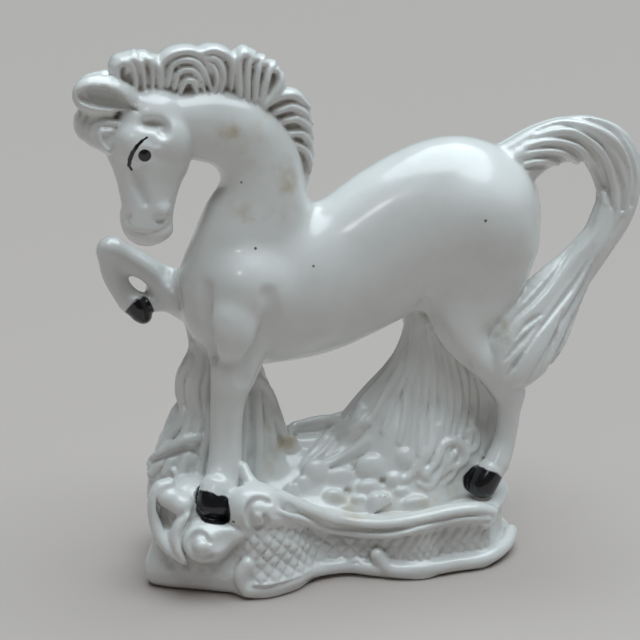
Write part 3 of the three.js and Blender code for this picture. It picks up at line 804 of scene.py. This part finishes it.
def modelPlinth():
    half = np.array([plinth["length"], plinth["depth"]]) / 2
    corners = np.array(plinth["plan"]) * half
    perCorner, overlap = 16, 5  # points on each side of the plan, and corners that are passed twice
    loop = smoothCurve(np.vstack([corners[-2:], corners, corners[:3]]), perCorner * (len(corners) + overlap))
    fromStart = np.linalg.norm(loop - corners[0], axis=1)
    reach = overlap * perCorner
    loop = loop[np.argmin(fromStart[:reach]) : len(loop) - reach + np.argmin(fromStart[-reach:])]
    ends = np.roll(loop, -1, axis=0)
    run = np.concatenate([[0], np.cumsum(np.linalg.norm(ends - loop, axis=1))])
    x, y = axes[0][:, None], axes[1][None, :]
    nearest = np.full((counts[0], counts[1]), 1e9)
    around = np.zeros_like(nearest)
    inside = np.zeros(nearest.shape, bool)
    for (ax, ay), (bx, by), arc in zip(loop, ends, run):
        ex, ey = bx - ax, by - ay
        long = ex * ex + ey * ey + tiny**2
        t = np.clip(((x - ax) * ex + (y - ay) * ey) / long, 0, 1)
        d = (x - ax - t * ex) ** 2 + (y - ay - t * ey) ** 2
        closer = d < nearest
        nearest = np.where(closer, d, nearest)
        around = np.where(closer, arc + t * math.sqrt(long), around)
        rise = ey if abs(ey) > 1e-9 else 1e-9
        crosses = ((ay > y) != (by > y)) & (x < ax + (y - ay) * ex / rise)
        inside ^= crosses
    flat = np.where(inside, -1, 1) * np.sqrt(nearest)
    spans, _, _, z = cut((clay["low"][0], clay["low"][1], -3), (clay["high"][0], clay["high"][1], 50))
    heights = z[0, 0]
    front = (1 - smoothStep(y, *plinth["front"]))[:, :, None]
    lift = np.interp(axes[0], *np.array(plinth["lift"], float).T)[:, None, None] * front
    liftFrom = plinth["liftFrom"]
    lowered = np.where(heights > liftFrom, np.maximum(heights - lift, liftFrom), heights)
    block = (1 - stepAt(x, plinth["blockTo"], 3)) * (1 - smoothStep(y, *plinth["blockBack"]))
    stand = np.interp(lowered, *np.array(plinth["profile"], float).T)
    blockStand = np.interp(heights, *np.array(plinth["blockProfile"], float).T)
    stand = stand + block[:, :, None] * (blockStand - stand)
    begins, ends = plinth["panel"]
    panel = smoothStep(heights, *begins) * (1 - smoothStep(lowered, *ends))
    pitch = plinth["latticePitch"]
    arc = around[:, :, None]
    across = np.abs(np.sin(np.pi * (arc + heights) / pitch))
    down = np.abs(np.sin(np.pi * (arc - heights) / pitch))
    squares = np.minimum(across, down) ** 0.5
    ridges = np.abs(np.sin(np.pi * (arc + plinth["ridgeLean"] * heights) / plinth["ridgePitch"])) ** 0.8
    notched = np.abs(np.sin(np.pi * (arc - heights) / plinth["ridgePitch"]))
    ridges = ridges * (1 - 0.6 * (1 - notched) * (1 - smoothStep(heights, 14, 18)))
    middle = stepAt(x, plinth["latticeTo"], 5)[:, :, None]
    start = stepAt(x, plinth["latticeFrom"], 3)[:, :, None]
    stop = 1 - smoothStep(x, plinth["ridgesTo"] - 6, plinth["ridgesTo"])[:, :, None]
    carved = (squares * (1 - middle) + ridges * middle) * start * stop * front * panel
    flareTop, flareDepth = plinth["flareHeights"]
    lean = plinth["flare"] * np.clip((flareTop - lowered) / flareDepth, 0, 1) * smoothStep(heights, 6.4, 8.6)
    lean = lean * start * (1 - middle) * front * smoothStep(x, *plinth["flareFrom"])[:, :, None]
    wall = flat[:, :, None] - stand - lean - plinth["latticeRelief"] * carved * (1 - 0.6 * block[:, :, None])
    top = heights - plinth["height"] - lift
    base[spans] = -softMin(-wall, -top, plinth["rimBlend"])


modelPlinth()
print("plinth modelled")

scroll = {
    "rim": [
        (-46, -37, 47, 3.2, 4), (-38, -37, 48, 3.6, 4.4), (-31, -37, 45, 3.8, 4.4),
        (-20, -36, 38.5, 3.8, 4.4), (-8, -33, 31.5, 3.6, 4.4), (3, -32, 28, 3.4, 4.4),
        (14, -34.5, 27, 3.4, 4.4), (24, -38, 28, 3.4, 4.4), (36, -40, 30, 3.4, 4.2),
        (50, -39, 31.5, 3.4, 4.2), (64, -37, 31, 3.2, 4.2), (73, -35, 28, 2.6, 3.4),
    ],
    "lip": [
        (-34, -45, 42.5), (-28, -44, 39), (-20, -39.5, 34), (-11, -34, 27), (0, -32.5, 23),
        (11, -35.5, 21.5), (22, -40.5, 22.5), (33, -43, 25.5), (46, -41.5, 27), (59, -40.5, 27.5),
        (70, -38.5, 25.5),
    ],
    "crescent": [
        (-81, -27, 53, 2.0, 4), (-85.5, -27, 51, 2.6, 4), (-88, -27.5, 45, 2.8, 4.4),
        (-88, -28, 37, 3.0, 4.6), (-86, -30.5, 29.5, 3.4, 4.8), (-82, -34, 23.5, 3.2, 4.6),
        (-76.5, -38, 18.5, 1.6, 3.8),
    ],
    "secondCrescent": [
        (-74.5, -35, 39.5, 1.6, 4), (-77.5, -35.5, 36, 2.4, 4.4), (-79.3, -36, 31, 2.6, 4.6),
        (-79, -38, 25, 2.2, 4.2), (-76.5, -39.5, 20, 1.2, 3),
    ],
    "filling": [  # clay under the scrolls: centre, radii, blend and turn
        ((-70, -18, 36), (17, 15, 15), 3, 0),
        ((-38, -24, 32), (22, 12, 10), 4, 0),
        ((-77, -29, 28), (7, 10, 10), 3, 0),
    ],
    "plateNotch": ((-58, -51, 31.5), (7, 6, 5), 2.4, -35),
    "plate": [(-65, -28, 27.5, 9.8, 11.4), (-65, -41.5, 27.5, 9.8, 11.4)],
    "plateTip": [(-60, -38, 28, 7.5, 7), (-54.5, -41, 30.5, 5.0, 5.4), (-49.5, -43, 31.5, 2.0, 3)],
    "plateSpiral": [
        (-65.5, 30.8), (-67.7, 33.7), (-70.7, 33.8), (-73.0, 31.2), (-73.8, 27.5), (-72.1, 24.0),
        (-68.7, 22.4), (-64.8, 24.1),
    ],
    "voluteSpiral": [
        (-37.5, 46.9), (-42.1, 48.8), (-46.2, 46.3), (-47.0, 41.4), (-45.0, 36.7), (-41.3, 35.1),
        (-38.7, 37.9), (-40.1, 41.5),
    ],
    "volute": [((-45, -38, 42), (11.5, 9.6, 11), 2.4, 0), ((-39, -39, 41), (8, 9, 9.6), 2.4, 0)],
    "eyes": [(-68.5, 28.7, 3.1), (-42.8, 41.8, 2.0)],
    "boss": [((-80.5, -29, 46.5), (5.8, 6, 5.4), 2.0, 0), ((-76, -31, 43.5), (6, 6, 5), 2.0, 0)],
    "recess": [(-86, 47), (-85.8, 41), (-84.5, 36), (-82, 33.5), (-80, 37)],
    "beads": [
        [(-47.5, -45.5, 17.5), (-49.8, -45, 13), (-50, -45, 8), (-46.5, -46, 4.6)],
        [
            (-48, -45.6, 4.4), (-40, -46, 4.4), (-33, -44.8, 4.8), (-25, -41.5, 5.6), (-17, -35.5, 5.8),
            (-6, -32, 5), (4, -32, 4.6), (11, -35, 4.4), (17, -37.5, 4.2),
        ],
        [
            (16, -37, 11.5), (18.5, -38, 7.8), (22, -39.6, 4.6), (30, -41.6, 4.2), (40, -41.6, 4.2),
            (53, -39.6, 4.2), (66, -38.6, 4.4), (75, -35, 5.2), (84, -27, 6.6), (89, -18, 8),
        ],
    ],
    "splash": [(-46, -27, 57.5), (-44.5, -30.5, 53), (-41, -34, 49.5), (-36, -37, 47)],
    "rimGroove": [
        (-28, 43), (-20, 37), (-8, 29.2), (3, 25.6), (14, 24.6), (24, 25.8), (36, 28.2), (50, 29.6),
        (64, 29),
    ],
    "rightCurl": [(72, -37, 28.5), (73, -37, 24.5), (69, -38.5, 22), (65.5, -39, 24.5)],
}


def roundTube(field, line, thick, blend=0.8, taper=(0.8, 1.0, 0.6), deep=1.0, **shape):
    line = np.asarray(line, float)
    size = thick * np.interp(np.linspace(0, 1, len(line)), [0, 0.4, 1], taper)
    addTube(field, np.column_stack([line, size, size * deep]), blend, **shape)


def modelScrolls():
    addTube(base, scroll["rim"], 2.2)
    addBalls(base, scroll["filling"])
    addTube(base, scroll["crescent"], 1.2)
    addTube(base, scroll["secondCrescent"], 1.0)
    addTube(base, scroll["plate"], 1.2, capReach=0.32)
    addTube(base, scroll["plateTip"], 2.0)
    cutBall(base, *scroll["plateNotch"])
    addBalls(base, scroll["volute"])
    roundTube(base, scroll["lip"], 1.9, 1.2, (0.7, 1, 0.8))
    layTube(base, scroll["rimGroove"], 1.3, blend=1.0, carve=True)
    layTube(base, scroll["recess"], 2.4, blend=1.4, carve=True)
    addBalls(base, scroll["boss"])
    layTube(base, scroll["plateSpiral"], 1.7, blend=1.0, carve=True, taper=(0.7, 1.1, 0.7))
    layTube(base, scroll["voluteSpiral"], 1.8, blend=0.8, carve=True, taper=(0.8, 1.1, 0.7))
    for x, z, r in scroll["eyes"]:
        lobe(base, x, z, r, r, blend=0.6)
    for bead in scroll["beads"]:
        roundTube(base, bead, 3.7, 1.0, (0.95, 1.05, 0.9))
    roundTube(base, scroll["splash"], 3.2, 2.4, (0.8, 1, 1))
    roundTube(base, scroll["rightCurl"], 2.0, 1.0)


modelScrolls()
print("scrolls modelled")


def joinClay():
    joins = clay["joins"]
    joined = softMin(horse, hair, joins["hair"])
    joined = softMin(joined, support, joins["support"])
    joined = softMin(joined, base, joins["base"])
    return np.maximum(joined, -axes[2][None, None, :])


whole = joinClay()
del horse, hair, support, base
print("clay joined", whole.shape)
cellCorners = [(i, j, k) for i in (0, 1) for j in (0, 1) for k in (0, 1)]


def netSurface(field):
    # one vertex in each cell that the surface passes, joined across the grid's crossed edges
    inside = field < 0
    mixed = np.zeros([n - 1 for n in field.shape], np.uint8)
    nx, ny, nz = mixed.shape
    for i, j, k in cellCorners:
        mixed += inside[i : i + nx, j : j + ny, k : k + nz]
    cells = np.argwhere((mixed > 0) & (mixed < 8))
    number = np.full(mixed.shape, -1, np.int32)
    number[tuple(cells.T)] = np.arange(len(cells))
    corner = {shift: field[tuple((cells + shift).T)] for shift in cellCorners}
    total = np.zeros((len(cells), 3))
    hits = np.zeros(len(cells))
    for a in cellCorners:
        for axis in range(3):
            if a[axis]:
                continue
            b = tuple(1 if n == axis else a[n] for n in range(3))
            fa, fb = corner[a], corner[b]
            crossed = (fa < 0) != (fb < 0)
            share = np.where(crossed, fa / np.where(crossed, fa - fb, 1), 0)
            place = np.array(a, float)[None, :] + share[:, None] * (np.array(b) - np.array(a))
            total += place * crossed[:, None]
            hits += crossed
    points = (cells + total / hits[:, None]) * step + lowCorner
    quads = []
    for axis in range(3):
        one = tuple(slice(0, -1) if n == axis else slice(1, -1) for n in range(3))
        two = tuple(slice(1, None) if n == axis else slice(1, -1) for n in range(3))
        first, second = inside[one], inside[two]
        edges = np.argwhere(first != second) + np.array([0 if n == axis else 1 for n in range(3)])
        leaving = inside[tuple(edges.T)]
        u, v = np.zeros(3, int), np.zeros(3, int)
        u[(axis + 1) % 3] = 1
        v[(axis + 2) % 3] = 1
        ring = [edges - u - v, edges - v, edges, edges - u]
        four = np.stack([number[tuple(r.T)] for r in ring], axis=1)
        four[~leaving] = four[~leaving][:, ::-1]
        quads.append(four)
    quads = np.concatenate(quads)
    return points, quads[(quads >= 0).all(1)]


def largestShell(points, quads):
    label = np.arange(len(points))
    one = quads.ravel()
    two = np.roll(quads, -1, axis=1).ravel()
    while True:
        low = np.minimum(label[one], label[two])
        new = label.copy()
        np.minimum.at(new, one, low)
        np.minimum.at(new, two, low)
        new = new[new]
        if (new == label).all():
            break
        label = new
    names, sizes = np.unique(label, return_counts=True)
    keep = label == names[np.argmax(sizes)]
    number = np.cumsum(keep) - 1
    return points[keep], number[quads[keep[quads[:, 0]]]], len(names) - 1


def makeMesh(name, points, faces):
    mesh = bpy.data.meshes.new(name)
    corners = faces.shape[1]
    mesh.vertices.add(len(points))
    mesh.vertices.foreach_set("co", (points / perMetre).astype(np.float32).ravel())
    mesh.loops.add(faces.size)
    mesh.loops.foreach_set("vertex_index", faces.astype(np.int32).ravel())
    mesh.polygons.add(len(faces))
    mesh.polygons.foreach_set("loop_start", np.arange(len(faces), dtype=np.int32) * corners)
    mesh.polygons.foreach_set("loop_total", np.full(len(faces), corners, np.int32))
    mesh.update(calc_edges=True)
    return mesh


def sample(field, points):
    place = np.clip((points - lowCorner) / step, 0, np.array(field.shape) - 1.001)
    cell = place.astype(int)
    past = place - cell
    result = 0
    for corner in cellCorners:
        weight = np.where(corner, past, 1 - past).prod(1)
        result = result + weight * field[tuple((cell + corner).T)]
    return result


def slopeAt(field, points, reach):
    slope = np.zeros_like(points)
    for axis in range(3):
        move = np.zeros(3)
        move[axis] = reach
        slope[:, axis] = (sample(field, points + move) - sample(field, points - move)) / (2 * reach)
    return slope


def buildSculpture(field):
    points, quads = netSurface(field)
    points, quads, loose = largestShell(points, quads)
    print("net surface", len(points), "points,", len(quads), "quads,", loose, "loose shells left out")
    rough = bpy.data.objects.new("rough", makeMesh("rough", points, quads))
    bpy.context.scene.collection.objects.link(rough)
    modifier = rough.modifiers.new("fewer", "DECIMATE")
    modifier.ratio = min(1.0, clay["triangles"] / (2 * len(quads)))
    modifier.use_collapse_triangulate = True
    graph = bpy.context.evaluated_depsgraph_get()
    mesh = bpy.data.meshes.new_from_object(rough.evaluated_get(graph))
    roughMesh = rough.data
    bpy.data.objects.remove(rough)
    bpy.data.meshes.remove(roughMesh)
    co = np.zeros(len(mesh.vertices) * 3, np.float32)
    mesh.vertices.foreach_get("co", co)
    place = co.reshape(-1, 3).astype(float) * perMetre
    longest = clay["longestMove"] * step
    for _ in range(clay["projections"]):
        slope = slopeAt(field, place, clay["slopeReach"] * step)
        steepness = np.maximum((slope**2).sum(1), 0.09)
        move = sample(field, place) / steepness
        place -= slope * np.clip(move, -longest, longest)[:, None]
    place[:, 2] = np.maximum(place[:, 2], 0)
    mesh.vertices.foreach_set("co", (place / perMetre).astype(np.float32).ravel())
    mesh.name = "horseSculpture"
    mesh.polygons.foreach_set("use_smooth", np.ones(len(mesh.polygons), bool))
    # how closely the clay surrounds each point, kept on the mesh to set the painted shade in the crevices
    fill = np.clip(0.5 - field / step, 0, 1).astype(np.float32)
    creviceShade = sample(boxBlur(fill, clay["creviceShadeReach"]), place).astype(np.float32)
    mesh.attributes.new("creviceShade", "FLOAT", "POINT").data.foreach_set("value", creviceShade)
    mesh.update()
    horseSculpture = bpy.data.objects.new("horseSculpture", mesh)
    bpy.context.scene.collection.objects.link(horseSculpture)
    print("sculpture", len(mesh.vertices), "vertices,", len(mesh.polygons), "triangles")
    return horseSculpture


sculpture = buildSculpture(whole)
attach(sculpture, "root")
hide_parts("horse_on_plinth")

glaze = {
    "white": (0.80, 0.805, 0.79),
    "shadeWhite": (0.70, 0.70, 0.68),
    # colour of the painted shade in the crevices
    "creviceShade": (0.33, 0.27, 0.20),
    "stain": (0.46, 0.35, 0.19),
    "black": (0.012, 0.012, 0.014),
    "roughness": 0.2,
    "coat": 0.32,
    "coatRoughness": 0.09,
    "coatRipple": 75.0,  # scale of the noise behind the bump
    "bump": 0.08,
    "unevenness": 0.06,  # added to the roughness where the clouds are strongest
    "clouds": 28.0,  # scales of the noise in the white, the painted shade in the crevices and the stains
    "grain": 260.0,
    "blotches": 90.0,
    # where the painted crevice shade begins and how strong it gets
    "creviceShadeFrom": (0.60, 0.86),
    "creviceShadeStrength": 0.75,
    "stainEdge": 0.8,
    "hole": (0.16, 0.12, 0.09),
    "holeRadii": (0.7, 7, 0.7),
    "holeEdge": 0.3,
}
paint = {
    "hooves": [  # centre and radius in each direction
        ((-60, -33, 41.5), (9.4, 12, 8.0)),
        ((-63.2, -31, 45.4), (6.6, 12, 5.6)),
        ((71.6, -24, 38.5), (9.8, 11, 7.8)),
        ((-88, 12, 124.5), (6.6, 10, 7.6)),
        ((57, 23, 38.5), (10, 9, 7.5)),
    ],
    "pupil": ((-86.2, -24, 204.4), (2.8, 6, 2.7)),
    "brow": [
        (-84.8, -20, 212), (-87, -20, 210.7), (-89.3, -20, 208.6), (-91.3, -20, 205.6), (-92.5, -20, 202.4),
        (-92.9, -20, 199.8), (-91.8, -20, 197.8),
    ],
    "browWidths": (0.45, 0.7, 0.85, 0.95, 0.85, 0.6),
    "browTo": -15,  # the brow lies nearer the front than this y
    "hoofEdge": 0.05,
    "pupilEdge": 0.1,
    "wobble": 160.0,  # scale of the noise that makes the brushwork's outline uneven
    "wobbleReach": 2.2,  # from one extreme to the other
}


def nodeGroup(name, inputs, outputs):
    group = bpy.data.node_groups.new(name, "ShaderNodeTree")
    for title, kind, value in inputs:
        socket = group.interface.new_socket(title, in_out="INPUT", socket_type="NodeSocket" + kind)
        if value is not None:
            socket.default_value = value
    for title, kind in outputs:
        group.interface.new_socket(title, in_out="OUTPUT", socket_type="NodeSocket" + kind)
    return group, group.nodes.new("NodeGroupInput"), group.nodes.new("NodeGroupOutput")


def feed(tree, node, inputs):
    for key, value in inputs.items():
        if isinstance(value, bpy.types.NodeSocket):
            tree.links.new(value, node.inputs[key])
        else:
            node.inputs[key].default_value = value


def addNode(tree, kind, inputs=None, **settings):
    node = tree.nodes.new("ShaderNode" + kind)
    for key, value in settings.items():
        setattr(node, key, value)
    feed(tree, node, inputs or {})
    return node


def maths(tree, operation, one, two, **settings):
    return addNode(tree, "Math", {0: one, 1: two}, operation=operation, **settings).outputs[0]


def vectorMath(tree, operation, one, two=None):
    second = {} if two is None else {"Scale" if operation == "SCALE" else 1: two}
    node = addNode(tree, "VectorMath", {0: one, **second}, operation=operation)
    return node.outputs["Value" if operation in ("LENGTH", "DOT_PRODUCT", "DISTANCE") else "Vector"]


def mapRange(tree, value, low, high, first=0.0, last=1.0, smooth=False):
    inputs = {"Value": value, "From Min": low, "From Max": high, "To Min": first, "To Max": last}
    interpolation = "SMOOTHSTEP" if smooth else "LINEAR"
    return addNode(tree, "MapRange", inputs, interpolation_type=interpolation).outputs["Result"]


def noise(tree, place, scale, detail, output="Fac"):
    return addNode(tree, "TexNoise", {"Vector": place, "Scale": scale, "Detail": detail}).outputs[output]


def spotGroup():
    # 1 inside an ellipsoid, 0 outside it, with an edge of the given softness
    group, given, result = nodeGroup(
        "spotMask",
        [("Place", "Vector", None), ("Centre", "Vector", None), ("Radii", "Vector", None),
         ("Edge", "Float", 0.05)],
        [("Mask", "Float")],
    )
    away = vectorMath(group, "SUBTRACT", given.outputs["Place"], given.outputs["Centre"])
    size = vectorMath(group, "LENGTH", vectorMath(group, "DIVIDE", away, given.outputs["Radii"]))
    low = maths(group, "SUBTRACT", 1.0, given.outputs["Edge"])
    high = maths(group, "ADD", 1.0, given.outputs["Edge"])
    group.links.new(mapRange(group, size, low, high, 1.0, 0.0, smooth=True), result.inputs["Mask"])
    return group


def strokeGroup():
    # 1 near the line from Start to End, seen from the side
    group, given, result = nodeGroup(
        "strokeMask",
        [("Place", "Vector", None), ("Start", "Vector", None), ("End", "Vector", None),
         ("Width", "Float", 0.001)],
        [("Mask", "Float")],
    )
    flatWays = []
    for to in ("Place", "End"):
        way = vectorMath(group, "SUBTRACT", given.outputs[to], given.outputs["Start"])
        flatWays.append(vectorMath(group, "MULTIPLY", way, (1.0, 0.0, 1.0)))
    away, line = flatWays
    reach = vectorMath(group, "DOT_PRODUCT", away, line)
    long = vectorMath(group, "DOT_PRODUCT", line, line)
    share = maths(group, "DIVIDE", reach, long, use_clamp=True)
    apart = vectorMath(group, "DISTANCE", away, vectorMath(group, "SCALE", line, share))
    ratio = maths(group, "DIVIDE", apart, given.outputs["Width"])
    group.links.new(mapRange(group, ratio, 0.7, 1.15, 1.0, 0.0, smooth=True), result.inputs["Mask"])
    return group


def groupNode(tree, group, inputs):
    node = tree.nodes.new("ShaderNodeGroup")
    node.node_tree = group
    feed(tree, node, inputs)
    return node.outputs[0]


def inMetres(values):
    return tuple(v / perMetre for v in values)


def spotMask(tree, group, place, centre, radii, edge):
    inputs = {"Place": place, "Centre": inMetres(centre), "Radii": inMetres(radii), "Edge": edge}
    return groupNode(tree, group, inputs)


def unionOf(tree, masks):
    total = masks[0]
    for mask in masks[1:]:
        total = maths(tree, "MAXIMUM", total, mask)
    return total


def mixColour(tree, share, one, two):
    node = addNode(tree, "Mix", data_type="RGBA")
    one, two = ((*value, 1) if isinstance(value, tuple) else value for value in (one, two))
    feed(tree, node, {0: share, 6: one, 7: two})
    return node.outputs[2]


stains = [  # centre, radii and strength of each brownish patch
    ((-49, -18, 211), (5, 14, 5), 0.9),
    ((-30, -18, 214), (5, 14, 4), 0.6),
    ((-22, -18, 189), (4, 14, 7), 0.7),
    ((-39, -22, 171), (7, 14, 4), 0.8),
    ((-45, -18, 205), (7, 14, 6), 0.5),
    ((-30, -18, 209), (8, 14, 8), 0.35),
    ((-26, -20, 197), (6, 14, 6), 0.5),
    ((-33, -20, 200), (7, 14, 6), 0.35),
    ((-42, -20, 176), (9, 14, 5), 0.5),
    ((-28, -18, 172), (10, 14, 8), 0.3),
    ((77.5, -24, 114), (7, 18, 4.5), 1.0),
    ((-24, -12, 62), (10, 20, 12), 0.7),
    ((8, -22, 34), (22, 18, 6), 0.7),
    ((47, -26, 38), (16, 16, 8), 0.5),
]
pinholes = [
    (-43, -20, 189), (-38, -24, 160), (-12, -28, 151), (-27, -30, 192), (66, -30, 170), (-53.5, -44, 38),
]


def paintPorcelain():
    material = bpy.data.materials.new("glazedPorcelain")
    material.use_nodes = True
    tree = material.node_tree
    tree.nodes.clear()
    spot, stroke = spotGroup(), strokeGroup()
    place = addNode(tree, "TexCoord").outputs["Object"]
    wobble = noise(tree, place, paint["wobble"], 3.0, "Color")
    lean = vectorMath(tree, "SUBTRACT", wobble, (0.5, 0.5, 0.5))
    shift = vectorMath(tree, "SCALE", lean, paint["wobbleReach"] / perMetre)
    brushed = vectorMath(tree, "ADD", place, shift)
    # black brushwork
    marks = [spotMask(tree, spot, brushed, *hoof, paint["hoofEdge"]) for hoof in paint["hooves"]]
    marks.append(spotMask(tree, spot, place, *paint["pupil"], paint["pupilEdge"]))
    depthOf = addNode(tree, "SeparateXYZ", {0: place}).outputs["Y"]
    inFront = maths(tree, "LESS_THAN", depthOf, paint["browTo"] / perMetre)
    strokes = []
    for start, end, width in zip(paint["brow"], paint["brow"][1:], paint["browWidths"]):
        line = {"Start": inMetres(start), "End": inMetres(end), "Width": width / perMetre}
        strokes.append(groupNode(tree, stroke, {"Place": place, **line}))
    brow = maths(tree, "MULTIPLY", unionOf(tree, strokes), inFront)
    black = maths(tree, "MAXIMUM", unionOf(tree, marks), brow)
    # glaze colour, with painted shade darkening the crevices
    cloud = noise(tree, place, glaze["clouds"], 4.0)
    colour = mixColour(tree, mapRange(tree, cloud, 0.4, 0.75), glaze["white"], glaze["shadeWhite"])
    # how enclosed each point is, which sets the painted shade in the crevices
    depth = addNode(tree, "Attribute", attribute_name="creviceShade").outputs["Fac"]
    uneven = mapRange(tree, noise(tree, place, glaze["grain"], 4.0), 0.3, 0.7, first=0.55)
    creviceShadeMask = mapRange(tree, depth, *glaze["creviceShadeFrom"], last=glaze["creviceShadeStrength"], smooth=True)
    colour = mixColour(tree, maths(tree, "MULTIPLY", creviceShadeMask, uneven), colour, glaze["creviceShade"])
    patches = []
    for centre, radii, strength in stains:
        mask = spotMask(tree, spot, brushed, centre, radii, glaze["stainEdge"])
        patches.append(maths(tree, "MULTIPLY", mask, strength))
    patchy = mapRange(tree, noise(tree, place, glaze["blotches"], 5.0), 0.45, 0.7)
    stained = maths(tree, "MULTIPLY", unionOf(tree, patches), patchy)
    colour = mixColour(tree, stained, colour, glaze["stain"])
    holes = [spotMask(tree, spot, place, at, glaze["holeRadii"], glaze["holeEdge"]) for at in pinholes]
    colour = mixColour(tree, unionOf(tree, holes), colour, glaze["hole"])
    colour = mixColour(tree, black, colour, glaze["black"])
    # glaze surface
    ripple = noise(tree, place, glaze["coatRipple"], 2.0)
    bump = addNode(tree, "Bump", {"Strength": glaze["bump"], "Distance": 0.002, "Height": ripple})
    rough = mapRange(tree, cloud, 0.0, 1.0, glaze["roughness"], glaze["roughness"] + glaze["unevenness"])
    surface = {"Base Color": colour, "Roughness": rough, "Normal": bump.outputs[0], "IOR": 1.5}
    coat = {"Coat Weight": glaze["coat"], "Coat Roughness": glaze["coatRoughness"]}
    shader = addNode(tree, "BsdfPrincipled", {**surface, **coat})
    out = tree.nodes.new("ShaderNodeOutputMaterial")
    tree.links.new(shader.outputs[0], out.inputs[0])
    return material


sculpture.data.materials.clear()
sculpture.data.materials.append(paintPorcelain())
print("porcelain painted")

stageSet = {
    "floor": 40.0,  # side of the square floor, in metres
    "floorColour": (0.44, 0.385, 0.36),
    "floorRoughness": 0.6,
    "world": (0.60, 0.50, 0.45),
    "worldStrength": 0.045,
    "lights": [  # name, where it shines from, apparent size in degrees, strength, colour
        ("top", (0.18, 0.0, 1.25), 62, 3.9, (0.83, 0.945, 1.0)),
        ("front", (-0.6, -1.1, 1.1), 7, 0.12, (1.0, 0.98, 0.95)),
    ],
}


def setStage():
    half = stageSet["floor"] / 2
    corners = np.array([(-half, -half, 0), (half, -half, 0), (half, half, 0), (-half, half, 0)]) * perMetre
    floor = bpy.data.objects.new("floor", makeMesh("floor", corners, np.array([[0, 1, 2, 3]])))
    material = bpy.data.materials.new("paleFloor")
    material.use_nodes = True
    shader = material.node_tree.nodes["Principled BSDF"]
    shader.inputs["Base Color"].default_value = (*stageSet["floorColour"], 1)
    shader.inputs["Roughness"].default_value = stageSet["floorRoughness"]
    floor.data.materials.append(material)
    bpy.context.scene.collection.objects.link(floor)
    for name, at, size, strength, colour in stageSet["lights"]:
        data = bpy.data.lights.new(name, "SUN")
        data.angle = math.radians(size)
        data.energy = strength
        data.color = colour
        lamp = bpy.data.objects.new(name, data)
        lamp.location = at
        lamp.rotation_mode = "QUATERNION"
        lamp.rotation_quaternion = (-Vector(at)).to_track_quat("-Z", "Y")
        bpy.context.scene.collection.objects.link(lamp)
    world = bpy.data.worlds.new("studio")
    world.use_nodes = True
    background = world.node_tree.nodes["Background"]
    background.inputs[0].default_value = (*stageSet["world"], 1)
    background.inputs[1].default_value = stageSet["worldStrength"]
    bpy.context.scene.world = world
    bpy.context.scene.view_settings.view_transform = "Standard"


setStage()
print("stage set")
